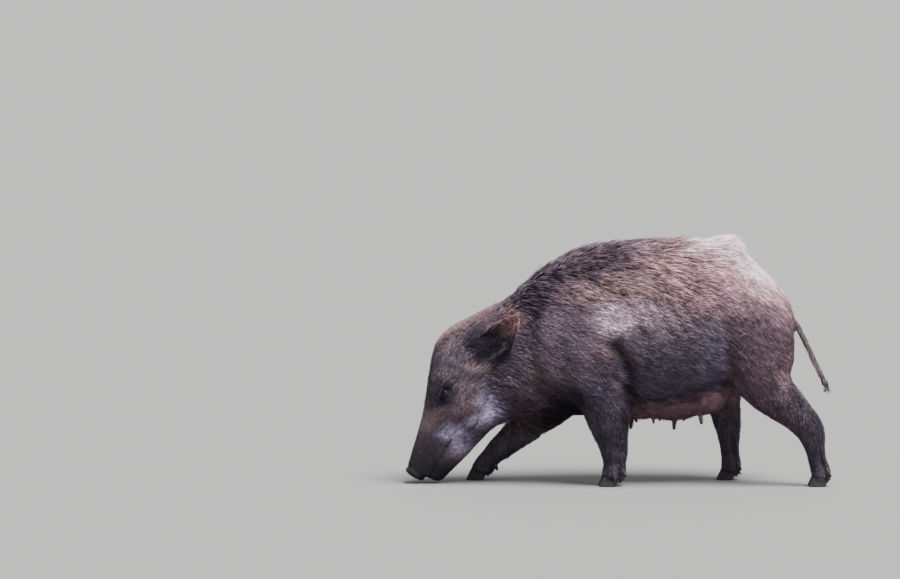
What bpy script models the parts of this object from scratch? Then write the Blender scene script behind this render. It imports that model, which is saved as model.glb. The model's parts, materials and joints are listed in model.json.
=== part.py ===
"""Wild boar sow, life size, walking with her snout down at the ground.

Run with blender --background --python part.py, or from Blender's text editor.

Metres, +Z up. She faces -Y, her left side is +X and the floor is z = 0. The solids reach out
to the tips of the coat. Her flesh is fused from lofts and rounded masses, thinned out to a few
thousand triangles, and then parted by thin cuts into head, neck, trunk and legs. Ears, eyes,
nose, udder, tail, hooves and dewclaws are solids of their own, seated on the flesh with a gap.
"""

import math
from collections import namedtuple

import bmesh
import bpy
import numpy as np
from mathutils import Matrix, Vector

LEFT, RIGHT = 1, -1
GAP = 0.0004  # between neighbouring solids

# Fusing the flesh
VOXEL = 0.006
SMOOTHING = 16
FLESH_TRIANGLES = 3300

# A cross-section of the body. back and belly are (y, z) of its top and bottom, half_width is
# at its widest level, widest is that level from belly 0 to back 1, and ridge and keel are the
# powers of its upper and lower curves: 2 is an ellipse, less is sharper, more is squarer.
Section = namedtuple("Section", "name back belly half_width widest ridge keel")
BODY = (
    Section("tail head", (0.548, 0.468), (0.543, 0.405), 0.036, 0.50, 2.0, 2.0),
    Section("rump", (0.530, 0.534), (0.524, 0.360), 0.088, 0.48, 2.0, 2.0),
    Section("croup", (0.468, 0.604), (0.468, 0.315), 0.126, 0.47, 2.0, 2.0),
    Section("hips", (0.413, 0.654), (0.405, 0.282), 0.143, 0.46, 2.0, 2.1),
    Section("raised hair", (0.354, 0.697), (0.350, 0.266), 0.153, 0.45, 1.9, 2.1),
    Section("loin", (0.290, 0.704), (0.280, 0.238), 0.161, 0.44, 1.9, 2.2),
    Section("paunch", (0.165, 0.702), (0.165, 0.212), 0.170, 0.44, 1.9, 2.2),
    Section("ribs", (0.055, 0.703), (0.055, 0.198), 0.164, 0.44, 1.8, 2.2),
    Section("withers", (-0.040, 0.691), (-0.045, 0.192), 0.146, 0.45, 1.7, 2.1),
    Section("shoulder", (-0.130, 0.657), (-0.140, 0.193), 0.130, 0.45, 1.65, 2.0),
    Section("mane", (-0.210, 0.604), (-0.222, 0.190), 0.117, 0.45, 1.65, 2.0),
    Section("neck", (-0.290, 0.528), (-0.272, 0.178), 0.107, 0.46, 1.8, 2.0),
    Section("poll", (-0.370, 0.478), (-0.294, 0.170), 0.100, 0.46, 2.1, 2.0),
    Section("crown", (-0.440, 0.441), (-0.299, 0.166), 0.096, 0.44, 2.3, 2.0),
    Section("forehead", (-0.482, 0.389), (-0.304, 0.162), 0.094, 0.44, 2.3, 2.0),
    Section("brow", (-0.495, 0.331), (-0.312, 0.156), 0.091, 0.45, 2.4, 2.0),
    Section("eyes", (-0.503, 0.277), (-0.328, 0.141), 0.083, 0.47, 2.4, 2.0),
    Section("cheek", (-0.510, 0.227), (-0.350, 0.117), 0.069, 0.50, 2.3, 2.1),
    Section("muzzle", (-0.520, 0.180), (-0.379, 0.087), 0.055, 0.53, 2.2, 2.2),
    Section("snout", (-0.532, 0.134), (-0.407, 0.058), 0.046, 0.55, 2.2, 2.2),
    Section("lips", (-0.546, 0.088), (-0.436, 0.030), 0.040, 0.58, 2.2, 2.2),
    Section("nose", (-0.558, 0.044), (-0.464, 0.001), 0.037, 0.60, 2.2, 2.2),
)

# A cross-section of a limb, square to the limb's own line. x is how far out its centre is,
# y and z where it is, depth is half its size fore and aft, and width half its size sideways.
Joint = namedtuple("Joint", "name x y z depth width")
FORELEG_UNDER = (  # the left foreleg, which carries her
    Joint("shoulder blade", 0.066, -0.050, 0.520, 0.060, 0.045),
    Joint("shoulder", 0.086, -0.045, 0.425, 0.092, 0.061),
    Joint("upper arm", 0.092, -0.018, 0.330, 0.098, 0.062),
    Joint("elbow", 0.094, 0.006, 0.250, 0.080, 0.050),
    Joint("forearm", 0.092, 0.014, 0.180, 0.061, 0.042),
    Joint("above knee", 0.088, 0.024, 0.130, 0.044, 0.034),
    Joint("knee", 0.086, 0.029, 0.096, 0.0385, 0.032),
    Joint("cannon", 0.085, 0.030, 0.066, 0.031, 0.0285),
    Joint("fetlock", 0.085, 0.029, 0.042, 0.033, 0.032),
    Joint("pastern", 0.085, 0.020, 0.012, 0.032, 0.033),
)
FORELEG_AHEAD = (  # the right foreleg, stepping forward
    Joint("shoulder blade", 0.066, -0.060, 0.520, 0.060, 0.045),
    Joint("shoulder", 0.086, -0.080, 0.420, 0.090, 0.060),
    Joint("upper arm", 0.090, -0.100, 0.320, 0.092, 0.060),
    Joint("elbow", 0.092, -0.133, 0.238, 0.078, 0.050),
    Joint("forearm", 0.092, -0.198, 0.174, 0.059, 0.042),
    Joint("above knee", 0.090, -0.258, 0.119, 0.042, 0.035),
    Joint("knee", 0.088, -0.294, 0.090, 0.0365, 0.032),
    Joint("cannon", 0.087, -0.321, 0.063, 0.0295, 0.028),
    Joint("fetlock", 0.086, -0.340, 0.040, 0.0300, 0.031),
    Joint("pastern", 0.086, -0.355, 0.012, 0.0300, 0.032),
)
HINDLEG_BEHIND = (  # the left hind leg, at the end of its push
    Joint("hip", 0.058, 0.430, 0.540, 0.070, 0.045),
    Joint("rump", 0.080, 0.442, 0.450, 0.100, 0.064),
    Joint("thigh", 0.088, 0.446, 0.370, 0.102, 0.063),
    Joint("stifle", 0.091, 0.454, 0.304, 0.089, 0.056),
    Joint("gaskin", 0.089, 0.503, 0.246, 0.062, 0.045),
    Joint("above hock", 0.087, 0.552, 0.200, 0.047, 0.036),
    Joint("hock", 0.086, 0.586, 0.158, 0.042, 0.031),
    Joint("cannon", 0.086, 0.599, 0.108, 0.0275, 0.027),
    Joint("shank", 0.086, 0.607, 0.072, 0.0250, 0.026),
    Joint("fetlock", 0.086, 0.616, 0.042, 0.0275, 0.030),
    Joint("pastern", 0.086, 0.616, 0.012, 0.0295, 0.032),
)
HINDLEG_UNDER = (  # the right hind leg, well under her belly
    Joint("hip", 0.058, 0.420, 0.540, 0.070, 0.045),
    Joint("rump", 0.080, 0.418, 0.450, 0.100, 0.064),
    Joint("thigh", 0.088, 0.395, 0.370, 0.102, 0.063),
    Joint("stifle", 0.091, 0.356, 0.300, 0.084, 0.056),
    Joint("gaskin", 0.089, 0.344, 0.240, 0.060, 0.045),
    Joint("above hock", 0.087, 0.352, 0.192, 0.045, 0.036),
    Joint("hock", 0.086, 0.359, 0.152, 0.038, 0.031),
    Joint("cannon", 0.086, 0.362, 0.106, 0.0275, 0.027),
    Joint("shank", 0.086, 0.365, 0.072, 0.0250, 0.026),
    Joint("fetlock", 0.086, 0.369, 0.042, 0.0275, 0.030),
    Joint("pastern", 0.086, 0.362, 0.012, 0.0295, 0.032),
)

# A rounded mass, made on both sides. at and radii are (x, y, z), and pitch tips it nose down
# about the X axis, in degrees.
Mass = namedtuple("Mass", "name at radii pitch")
FLESH_MASSES = (
    Mass("jowl", (0.046, -0.358, 0.206), (0.044, 0.070, 0.054), 50),
    Mass("cheekbone", (0.058, -0.412, 0.262), (0.032, 0.066, 0.036), 55),
    Mass("brow ridge", (0.050, -0.456, 0.296), (0.022, 0.024, 0.030), 20),
    Mass("ear root", (0.058, -0.352, 0.400), (0.030, 0.045, 0.045), 40),
)
UDDER_MASSES = (
    Mass("front", (0.046, 0.105, 0.222), (0.046, 0.085, 0.033), 0),
    Mass("middle", (0.048, 0.205, 0.222), (0.050, 0.080, 0.037), 3),
    Mass("back", (0.046, 0.295, 0.246), (0.046, 0.062, 0.044), 18),
)
# A teat: how far out, where along her, the height of its root, its size and how far it leans
# back, in degrees.
Teat = namedtuple("Teat", "side x y root size lean")
TEAT_RADIUS = 0.0065
TEATS = (
    Teat(LEFT, 0.060, 0.080, 0.189, 1.00, -4),
    Teat(LEFT, 0.064, 0.142, 0.191, 0.55, 2),
    Teat(LEFT, 0.068, 0.202, 0.188, 1.00, -3),
    Teat(LEFT, 0.066, 0.276, 0.203, 1.00, 6),
    Teat(RIGHT, 0.060, 0.096, 0.190, 0.85, 3),
    Teat(RIGHT, 0.066, 0.164, 0.189, 0.70, -2),
    Teat(RIGHT, 0.068, 0.232, 0.191, 0.80, 4),
    Teat(RIGHT, 0.064, 0.298, 0.213, 0.80, 8),
)

# A thin cut right through the flesh: a plate centred at a point, which is length long along
# (y, z) of along and width wide sideways. roll tips its outer edge up, in degrees. Of the two
# pieces, the one that lies on the beyond side of it takes the name.
Cut = namedtuple("Cut", "name at along length width roll beyond")
CUTS = (
    Cut("forefoot_left", (0.086, 0.028, 0.104), (1, 0.00), 0.14, 0.12, 0, (0, -1)),
    Cut("foreleg_left", (0.098, 0.006, 0.222), (1, 0.00), 0.20, 0.15, 34, (0, -1)),
    Cut("forefoot_right", (-0.088, -0.296, 0.103), (1, -0.95), 0.14, 0.12, 0, (0, -1)),
    Cut("foreleg_right", (-0.096, -0.232, 0.150), (1, -0.45), 0.156, 0.13, -14, (0, -1)),
    Cut("hindfoot_left", (0.086, 0.590, 0.140), (1, 0.30), 0.15, 0.12, 0, (0, -1)),
    Cut("hindleg_left", (0.094, 0.484, 0.256), (1, 0.62), 0.22, 0.15, 8, (0, -1)),
    Cut("hindfoot_right", (-0.086, 0.374, 0.130), (1, -0.05), 0.15, 0.12, 0, (0, -1)),
    Cut("hindleg_right", (-0.098, 0.350, 0.216), (1, 0.10), 0.22, 0.13, -22, (0, -1)),
    Cut("head", (0, -0.326, 0.330), (0.02, 1), 0.60, 0.34, 0, (-1, 0)),
    Cut("neck", (0, -0.210, 0.400), (0.350, 1), 0.70, 0.40, 0, (-1, 0)),
)
HEAD_CUTS = (
    Cut("snout", (0, -0.453, 0.148), (0.857, -0.515), 0.30, 0.24, 0, (-0.515, -0.857)),
    Cut("jaw", (0, -0.462, 0.078), (0.494, 0.869), 0.28, 0.20, 0, (0.869, -0.494)),
)

# Feet, as side, y of the pastern and how far the toes turn out, in degrees.
Foot = namedtuple("Foot", "name side x y turn")
FEET = (
    Foot("fore_left", LEFT, 0.085, 0.014, 6),
    Foot("fore_right", RIGHT, 0.086, -0.361, 5),
    Foot("hind_left", LEFT, 0.086, 0.610, 4),
    Foot("hind_right", RIGHT, 0.086, 0.356, 5),
)
CLAW_LENGTH, CLAW_WIDTH, CLAW_APART = 0.052, 0.0235, 0.0275
CORONET, CORONET_SLOPE = 0.027, 0.26
DEWCLAW_LENGTH, DEWCLAW_RADIUS, DEWCLAW_HEIGHT = 0.030, 0.0095, 0.044

# Head furniture
EYE_AT, EYE_RADIUS, EYE_OUT = (-0.4546, 0.2636), 0.0135, 0.0040
EAR_ROOT, EAR_TIP = (0.074, -0.362, 0.366), (0.132, -0.247, 0.487)
EAR_WIDTH, EAR_THICK = 0.088, 0.0085
NOSE_AT, NOSE_WIDTH, NOSE_HEIGHT, NOSE_THICK = (-0.5395, 0.0200), 0.072, 0.060, 0.022
NOSE_FACES = (-0.509, -0.861)
TAIL = (
    (0.0, 0.534, 0.480, 0.0090),
    (0.003, 0.554, 0.450, 0.0085),
    (0.006, 0.573, 0.412, 0.0075),
    (0.008, 0.599, 0.358, 0.0070),
    (0.008, 0.620, 0.312, 0.0065),
    (0.006, 0.630, 0.293, 0.0080),
    (0.004, 0.638, 0.276, 0.0030),
)

Look = namedtuple("Look", "color roughness")
LOOKS = {
    "coat": Look((0.085, 0.066, 0.055), 0.9),
    "muzzle": Look((0.028, 0.024, 0.024), 0.6),
    "udder": Look((0.24, 0.15, 0.12), 0.7),
    "horn": Look((0.03, 0.026, 0.022), 0.5),
    "eye": Look((0.010, 0.006, 0.004), 0.1),
}


def clear_scene():
    for obj in list(bpy.data.objects):
        bpy.data.objects.remove(obj, do_unlink=True)


def through(rows, steps):
    """Catmull-Rom rows through the given ones, with steps rows for each space between them."""
    rows = np.array(rows, float)
    first = 2 * rows[0] - rows[1]
    last = 2 * rows[-1] - rows[-2]
    padded = np.vstack([first, rows, last])
    dense = []
    for i in range(len(rows) - 1):
        before, start, end, after = padded[i : i + 4]
        for t in np.arange(steps) / steps:
            dense.append(
                start
                + 0.5 * t * (end - before)
                + t * t * (before - 2.5 * start + 2 * end - 0.5 * after)
                + t**3 * (1.5 * (start - end) + 0.5 * (after - before))
            )
    dense.append(rows[-1])
    return np.array(dense)


def new_object(name, shape, collection):
    """An object from a bmesh, which it frees."""
    data = bpy.data.meshes.new(name)
    shape.to_mesh(data)
    shape.free()
    obj = bpy.data.objects.new(name, data)
    collection.objects.link(obj)
    return obj


def loft(name, rings, collection):
    """A closed tube through rings of points, capped at both ends."""
    tube = bmesh.new()
    rows = [[tube.verts.new(point) for point in ring] for ring in rings]
    around = len(rows[0])
    for near, far in zip(rows, rows[1:]):
        for i in range(around):
            j = (i + 1) % around
            tube.faces.new((near[i], near[j], far[j], far[i]))
    tube.faces.new(reversed(rows[0]))
    tube.faces.new(rows[-1])
    bmesh.ops.recalc_face_normals(tube, faces=tube.faces)
    return new_object(name, tube, collection)


def rounded(cosine, power):
    return math.copysign(abs(cosine) ** (2 / power), cosine)


def body_ring(row, around=36):
    back = Vector((0, row[0], row[1]))
    belly = Vector((0, row[2], row[3]))
    half_width, widest, ridge, keel = row[4:]
    middle = belly.lerp(back, widest)
    ring = []
    for i in range(around):
        angle = math.tau * i / around
        power = ridge if math.sin(angle) > 0 else keel
        rise = rounded(math.sin(angle), power)
        point = middle.lerp(back if rise > 0 else belly, abs(rise))
        point.x = half_width * rounded(math.cos(angle), power)
        ring.append(point)
    return ring


def make_body(collection):
    rows = [(*s.back, *s.belly, s.half_width, s.widest, s.ridge, s.keel) for s in BODY]
    return loft("body", [body_ring(row) for row in through(rows, 4)], collection)


def tube_rings(middles, depths, widths, around):
    """Elliptical rings square to a line in the (y, z) plane, wide along X."""
    along = np.gradient(middles, axis=0)
    across = Vector((1, 0, 0))
    rings = []
    for middle, forward, depth, width in zip(middles, along, depths, widths):
        fore = Vector(forward).normalized().cross(across).normalized()
        angles = [math.tau * i / around for i in range(around)]
        rings.append(
            [
                Vector(middle)
                + across * width * math.cos(angle)
                + fore * depth * math.sin(angle)
                for angle in angles
            ]
        )
    return rings


def make_limb(name, joints, side, collection):
    rows = through([joint[1:] for joint in joints], 4)
    middles = rows[:, :3] * (side, 1, 1)
    return loft(name, tube_rings(middles, rows[:, 3], rows[:, 4], 20), collection)


def make_mass(mass, side, collection):
    x, y, z = mass.at
    place = Matrix.Translation((side * x, y, z))
    turn = Matrix.Rotation(math.radians(mass.pitch), 4, "X")
    size = Matrix.Diagonal((*mass.radii, 1))
    ball = bmesh.new()
    bmesh.ops.create_uvsphere(
        ball, u_segments=24, v_segments=16, radius=1, matrix=place @ turn @ size
    )
    return new_object(f"{mass.name} {side}", ball, collection)


def bake(obj):
    """Replaces the object's mesh by what its modifiers make of it."""
    graph = bpy.context.evaluated_depsgraph_get()
    data = bpy.data.meshes.new_from_object(obj.evaluated_get(graph))
    obj.modifiers.clear()
    obj.data = data
    return obj


def joined(name, objects, collection):
    whole = bmesh.new()
    for obj in objects:
        whole.from_mesh(obj.data)
        bpy.data.objects.remove(obj)
    return new_object(name, whole, collection)


def fuse(obj, voxel):
    remesh = obj.modifiers.new("fuse", "REMESH")
    remesh.mode = "VOXEL"
    remesh.voxel_size = voxel
    return bake(obj)


def soften(obj, rounds, share_at=None):
    """Smooths the mesh. share_at gives how much of it each point takes."""
    smooth = obj.modifiers.new("soften", "SMOOTH")
    smooth.factor = 0.5
    smooth.iterations = rounds
    if share_at:
        group = obj.vertex_groups.new(name="soft")
        for vertex in obj.data.vertices:
            group.add([vertex.index], share_at(vertex.co), "REPLACE")
        smooth.vertex_group = group.name
    return bake(obj)


def thin_out(obj, triangles):
    obj.data.calc_loop_triangles()
    decimate = obj.modifiers.new("thin out", "DECIMATE")
    decimate.ratio = triangles / len(obj.data.loop_triangles)
    return bake(obj)


def boolean(obj, other, operation):
    modifier = obj.modifiers.new(operation.lower(), "BOOLEAN")
    modifier.operation = operation
    modifier.solver = "EXACT"
    modifier.object = other
    return bake(obj)


def remove(obj):
    bpy.data.objects.remove(obj)


def flesh_softness(point):
    """Full on the trunk, less on the small forms of the snout and the feet."""
    snout = 0.35 if point.y < -0.36 and point.z < 0.20 else 1.0
    feet = 0.35 + 0.65 * min(1.0, max(0.0, (point.z - 0.08) / 0.12))
    return min(snout, feet)


def make_flesh(collection):
    pieces = [
        make_body(collection),
        make_limb("foreleg left", FORELEG_UNDER, LEFT, collection),
        make_limb("foreleg right", FORELEG_AHEAD, RIGHT, collection),
        make_limb("hindleg left", HINDLEG_BEHIND, LEFT, collection),
        make_limb("hindleg right", HINDLEG_UNDER, RIGHT, collection),
    ]
    pieces += [make_mass(m, side, collection) for m in FLESH_MASSES for side in (LEFT, RIGHT)]
    flesh = joined("trunk", pieces, collection)
    fuse(flesh, VOXEL)
    soften(flesh, SMOOTHING, flesh_softness)
    return thin_out(flesh, FLESH_TRIANGLES)


def plate(cut, collection):
    """The thin plate of a cut, and the direction from it to the piece that takes the name."""
    along = Vector((0, *cut.along)).normalized()
    roll = Matrix.Rotation(math.radians(-cut.roll), 3, along)
    across = roll @ Vector((1, 0, 0))
    normal = across.cross(along)
    if normal.dot(Vector((0, *cut.beyond))) < 0:
        normal = -normal
    axes = Matrix((across * cut.width, along * cut.length, normal * GAP)).transposed()
    box = bmesh.new()
    bmesh.ops.create_cube(box, size=1, matrix=Matrix.Translation(cut.at) @ axes.to_4x4())
    bmesh.ops.recalc_face_normals(box, faces=box.faces)
    return new_object(f"{cut.name} cut", box, collection), normal


def loose_pieces(obj, collection):
    """The separate closed shells of a mesh, as bmeshes, largest first."""
    whole = bmesh.new()
    whole.from_mesh(obj.data)
    whole.verts.ensure_lookup_table()
    shell_of = [-1] * len(whole.verts)
    count = 0
    for start in whole.verts:
        if shell_of[start.index] >= 0:
            continue
        stack = [start]
        shell_of[start.index] = count
        while stack:
            vertex = stack.pop()
            for edge in vertex.link_edges:
                other = edge.other_vert(vertex)
                if shell_of[other.index] < 0:
                    shell_of[other.index] = count
                    stack.append(other)
        count += 1
    pieces = []
    for shell in range(count):
        piece = whole.copy()
        piece.verts.ensure_lookup_table()
        others = [v for v in piece.verts if shell_of[v.index] != shell]
        bmesh.ops.delete(piece, geom=others, context="VERTS")
        pieces.append(piece)
    whole.free()
    return sorted(pieces, key=lambda piece: -piece.calc_volume())


def cut_off(obj, cut, collection):
    """Cuts the object in two. The piece beyond the cut becomes an object of its own."""
    cutter, normal = plate(cut, collection)
    boolean(obj, cutter, "DIFFERENCE")
    remove(cutter)
    pieces = loose_pieces(obj, collection)
    assert len(pieces) == 2, f"the {cut.name} cut left {len(pieces)} pieces"
    at = Vector(cut.at)
    beyond = []
    for piece in pieces:
        middle = sum((v.co for v in piece.verts), Vector()) / len(piece.verts)
        beyond.append((middle - at).dot(normal))
    first, second = pieces if beyond[0] > beyond[1] else reversed(pieces)
    second.to_mesh(obj.data)
    second.free()
    return new_object(cut.name, first, collection)


def grown(obj, by, collection):
    """A copy of the object that reaches out further by a little all round."""
    shape = bmesh.new()
    shape.from_mesh(obj.data)
    shape.normal_update()
    for vertex in shape.verts:
        vertex.co += vertex.normal * by
    return new_object(f"{obj.name} grown", shape, collection)


def seat(obj, carrier):
    """Trims the object to lie against its carrier with a gap."""
    return boolean(obj, carrier, "DIFFERENCE")


def claw_rings(at, length, width, height, lean):
    """Egg-shaped rings from the sole up, leaning back, with the toe at -Y."""
    rings = []
    for level, size in ((0, 0.94), (0.12, 1.0), (0.5, 0.92), (1.0, 0.80)):
        ring = []
        for i in range(12):
            angle = math.tau * i / 12
            toe = math.cos(angle)
            x = 0.5 * width * size * math.sin(angle) * (1 - 0.22 * toe)
            y = -0.5 * length * size * toe
            ring.append(Vector((x, y + lean * level, height * level)) + at)
        rings.append(ring)
    return rings


def coronet_box(foot, above, collection):
    """A tall box whose underside is the slanting top of the claws, raised by above."""
    box = bmesh.new()
    low = []
    high = []
    for dx, dy in ((-0.06, -0.07), (0.06, -0.07), (0.06, 0.08), (-0.06, 0.08)):
        x = foot.side * foot.x + dx
        y = foot.y + dy
        low.append(box.verts.new((x, y, CORONET - CORONET_SLOPE * dy + above)))
        high.append(box.verts.new((x, y, -0.1 if above > 0 else 0.2)))
    box.faces.new(low)
    box.faces.new(high)
    for i in range(4):
        j = (i + 1) % 4
        box.faces.new((low[i], low[j], high[j], high[i]))
    bmesh.ops.recalc_face_normals(box, faces=box.faces)
    return new_object("coronet", box, collection)


def make_claws(foot, collection):
    claws = []
    above = coronet_box(foot, -GAP / 2, collection)
    for half, name in ((-1, "in"), (1, "out")):
        middle = Vector((foot.side * foot.x, foot.y, 0))
        turn = Matrix.Rotation(math.radians(foot.side * foot.turn), 3, "Z")
        rings = claw_rings(
            Vector((half * foot.side * CLAW_APART / 2, -0.004, 0)),
            CLAW_LENGTH,
            CLAW_WIDTH,
            0.045,
            0.016,
        )
        rings = [[turn @ point + middle for point in ring] for ring in rings]
        claw = loft(f"claw_{foot.name}_{name}", rings, collection)
        boolean(claw, above, "DIFFERENCE")
        claws.append(claw)
    remove(above)
    return claws


def make_dewclaws(foot, flesh, collection):
    dewclaws = []
    for half, name in ((-1, "in"), (1, "out")):
        x = foot.side * (foot.x + half * 0.0175)
        hit, root, _, _ = flesh.ray_cast(
            Vector((x, foot.y + 0.1, DEWCLAW_HEIGHT)), Vector((0, -1, 0))
        )
        assert hit
        points = Vector((half * foot.side * 0.25, 0.50, -0.80)).normalized()
        turn = points.to_track_quat("Z", "Y").to_matrix().to_4x4()
        cone = bmesh.new()
        bmesh.ops.create_cone(
            cone,
            cap_ends=True,
            segments=8,
            radius1=DEWCLAW_RADIUS,
            radius2=0.0035,
            depth=DEWCLAW_LENGTH,
            matrix=Matrix.Translation(root + points * 0.004) @ turn,
        )
        bmesh.ops.recalc_face_normals(cone, faces=cone.faces)
        dewclaws.append(new_object(f"dewclaw_{foot.name}_{name}", cone, collection))
    return dewclaws


def surface_at(flesh, side, y, z):
    """The point where a line from her side meets the flesh, and the way the skin faces there."""
    hit, point, normal, _ = flesh.ray_cast(Vector((side, y, z)), Vector((-side, 0, 0)))
    assert hit
    return point, normal


def ball(name, at, radius, across, along, collection):
    sphere = bmesh.new()
    bmesh.ops.create_uvsphere(
        sphere,
        u_segments=across,
        v_segments=along,
        radius=radius,
        matrix=Matrix.Translation(at) @ Matrix.Rotation(math.radians(90), 4, "Y"),
    )
    return new_object(name, sphere, collection)


def make_ear(name, side, collection):
    """A cupped leaf that opens outwards and a little forwards, with a funnel for a root."""
    root = Vector((side * EAR_ROOT[0], *EAR_ROOT[1:]))
    tip = Vector((side * EAR_TIP[0], *EAR_TIP[1:]))
    along = (tip - root).normalized()
    out = Vector((side, -0.50, 0.05))
    out = (out - along * out.dot(along)).normalized()
    across = along.cross(out).normalized() * side
    length = (tip - root).length
    shape = (  # share of the length, share of the width, how deep the cup is
        (0.00, 0.50, 0.030),
        (0.12, 0.66, 0.034),
        (0.27, 0.88, 0.032),
        (0.42, 1.00, 0.027),
        (0.57, 0.97, 0.021),
        (0.71, 0.80, 0.015),
        (0.84, 0.56, 0.010),
        (0.94, 0.31, 0.006),
        (1.00, 0.10, 0.003),
    )
    rings = []
    for share, wide, cup in shape:
        middle = root + along * share * length + across * 0.010 * math.sin(math.pi * share)
        middle -= out * 0.012 * (1 - share)
        thick = EAR_THICK * (1.3 - 0.6 * share)
        inside = []
        outside = []
        for u in np.linspace(-1, 1, 9):
            line = middle + across * 0.5 * EAR_WIDTH * wide * math.sin(u * math.pi / 2)
            line += out * cup * (u * u - 0.35)
            inside.append(line)
            outside.append(line - out * thick * (1 - 0.5 * u * u))
        rings.append(inside + outside[::-1])
    return loft(name, rings, collection)


def make_nose(flesh, collection):
    faces = Vector((0, *NOSE_FACES)).normalized()
    up = Vector((0, NOSE_FACES[1], -NOSE_FACES[0])).normalized()
    middle = Vector((0, *NOSE_AT))
    rings = []
    for depth, size in ((0, 0.90), (0.0025, 0.97), (0.006, 1.0), (NOSE_THICK, 0.94)):
        ring = []
        for i in range(20):
            angle = math.tau * i / 20
            x = 0.5 * NOSE_WIDTH * size * rounded(math.cos(angle), 2.3)
            y = 0.5 * NOSE_HEIGHT * size * rounded(math.sin(angle), 2.3)
            ring.append(middle - faces * depth + up * y + Vector((x, 0, 0)))
        rings.append(ring)
    nose = loft("nose", rings, collection)
    for side in (LEFT, RIGHT):
        hole = bmesh.new()
        at = middle + up * -0.002 + Vector((side * 0.0145, 0, 0))
        turn = faces.to_track_quat("Z", "Y").to_matrix().to_4x4()
        shape = Matrix.Diagonal((0.0058, 0.0085, 0.009, 1))
        bmesh.ops.create_uvsphere(
            hole, u_segments=10, v_segments=6, radius=1, matrix=Matrix.Translation(at) @ turn @ shape
        )
        nostril = new_object("nostril", hole, collection)
        boolean(nose, nostril, "DIFFERENCE")
        remove(nostril)
    return nose


def make_tail(collection):
    rows = through(TAIL, 2)
    return loft("tail", tube_rings(rows[:, :3], rows[:, 3], rows[:, 3], 8), collection)


def make_teat(teat, collection):
    lean = math.radians(teat.lean)
    down = Vector((teat.side * 0.16, math.sin(lean), -math.cos(lean))).normalized()
    root = Vector((teat.side * teat.x, teat.y, teat.root))
    across = down.cross(Vector((0, 1, 0))).normalized()
    fore = down.cross(across)
    rings = []
    for depth, size in ((-0.016, 1.4), (0.002, 1.2), (0.018, 0.95), (0.027, 0.8), (0.030, 0.4)):
        middle = root + down * (depth if depth < 0 else depth * teat.size)
        ring = []
        for i in range(8):
            angle = math.tau * i / 8
            around = across * math.cos(angle) + fore * math.sin(angle)
            ring.append(middle + TEAT_RADIUS * size * teat.size**0.5 * around)
        rings.append(ring)
    return loft("teat", rings, collection)


def make_udder(collection):
    masses = [make_mass(m, side, collection) for m in UDDER_MASSES for side in (LEFT, RIGHT)]
    udder = joined("udder", masses, collection)
    fuse(udder, 0.005)
    soften(udder, 10)
    thin_out(udder, 420)
    for teat in TEATS:
        stalk = make_teat(teat, collection)
        boolean(udder, stalk, "UNION")
        remove(stalk)
    return udder


def paint(objects):
    materials = {}
    for name, look in LOOKS.items():
        material = bpy.data.materials.new(name)
        material.use_nodes = True
        shader = material.node_tree.nodes["Principled BSDF"]
        shader.inputs["Base Color"].default_value = (*look.color, 1)
        shader.inputs["Roughness"].default_value = look.roughness
        materials[name] = material
    for obj in objects:
        kind = "coat"
        if obj.name.startswith(("claw", "dewclaw")):
            kind = "horn"
        elif obj.name.startswith("eye"):
            kind = "eye"
        elif obj.name in ("nose", "udder"):
            kind = {"nose": "muzzle"}.get(obj.name, obj.name)
        obj.data.materials.clear()
        obj.data.materials.append(materials[kind])
        obj.data.shade_smooth()
        obj.data.set_sharp_from_angle(angle=math.radians(40))


def stand_on_origin(parts, collection):
    """Hangs the parts on an empty that puts the middle of their bounding box over the origin."""
    points = np.array([tuple(v.co) for part in parts for v in part.data.vertices])
    middle = (points.min(axis=0) + points.max(axis=0)) / 2
    root = bpy.data.objects.new("wild_boar", None)
    root.empty_display_size = 0.1
    collection.objects.link(root)
    root.location = (-middle[0], -middle[1], -points[:, 2].min())
    for part in parts:
        part.parent = root


def main():
    clear_scene()
    collection = bpy.data.collections.new("wild_boar")
    bpy.context.scene.collection.children.link(collection)
    flesh = make_flesh(collection)
    seats = grown(flesh, GAP, collection)
    eyes = []
    for side, name in ((LEFT, "left"), (RIGHT, "right")):
        point, normal = surface_at(flesh, side, *EYE_AT)
        centre = point - normal * (EYE_RADIUS - EYE_OUT)
        socket = ball("socket", centre, EYE_RADIUS + GAP, 14, 8, collection)
        boolean(flesh, socket, "DIFFERENCE")
        remove(socket)
        eyes.append(ball(f"eye_{name}", centre, EYE_RADIUS, 14, 8, collection))
    parts = []
    for foot in FEET:
        below = coronet_box(foot, GAP / 2, collection)
        boolean(flesh, below, "DIFFERENCE")
        remove(below)
        parts += make_claws(foot, collection)
        parts += [seat(d, seats) for d in make_dewclaws(foot, flesh, collection)]
    parts.append(seat(make_ear("ear_left", LEFT, collection), seats))
    parts.append(seat(make_ear("ear_right", RIGHT, collection), seats))
    parts.append(seat(make_nose(flesh, collection), seats))
    parts.append(seat(make_tail(collection), seats))
    parts.append(seat(make_udder(collection), seats))
    remove(seats)
    for cut in CUTS:
        parts.append(cut_off(flesh, cut, collection))
    head = next(part for part in parts if part.name == "head")
    snout = cut_off(head, HEAD_CUTS[0], collection)
    parts += [snout, cut_off(snout, HEAD_CUTS[1], collection)]
    parts += eyes + [flesh]
    paint(parts)
    stand_on_origin(parts, collection)


main()
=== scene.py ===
"""Looks of the life-size wild boar sow: one skin over the flesh, a coat of tufts, eyes and claws.

She faces -Y with her left side towards +X. Sizes are in metres and angles in degrees, in the frame of
the solids.
"""

import json
import math

import bmesh
import bpy
import numpy as np
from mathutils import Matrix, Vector
from mathutils.bvhtree import BVHTree
from mathutils.kdtree import KDTree

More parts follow.
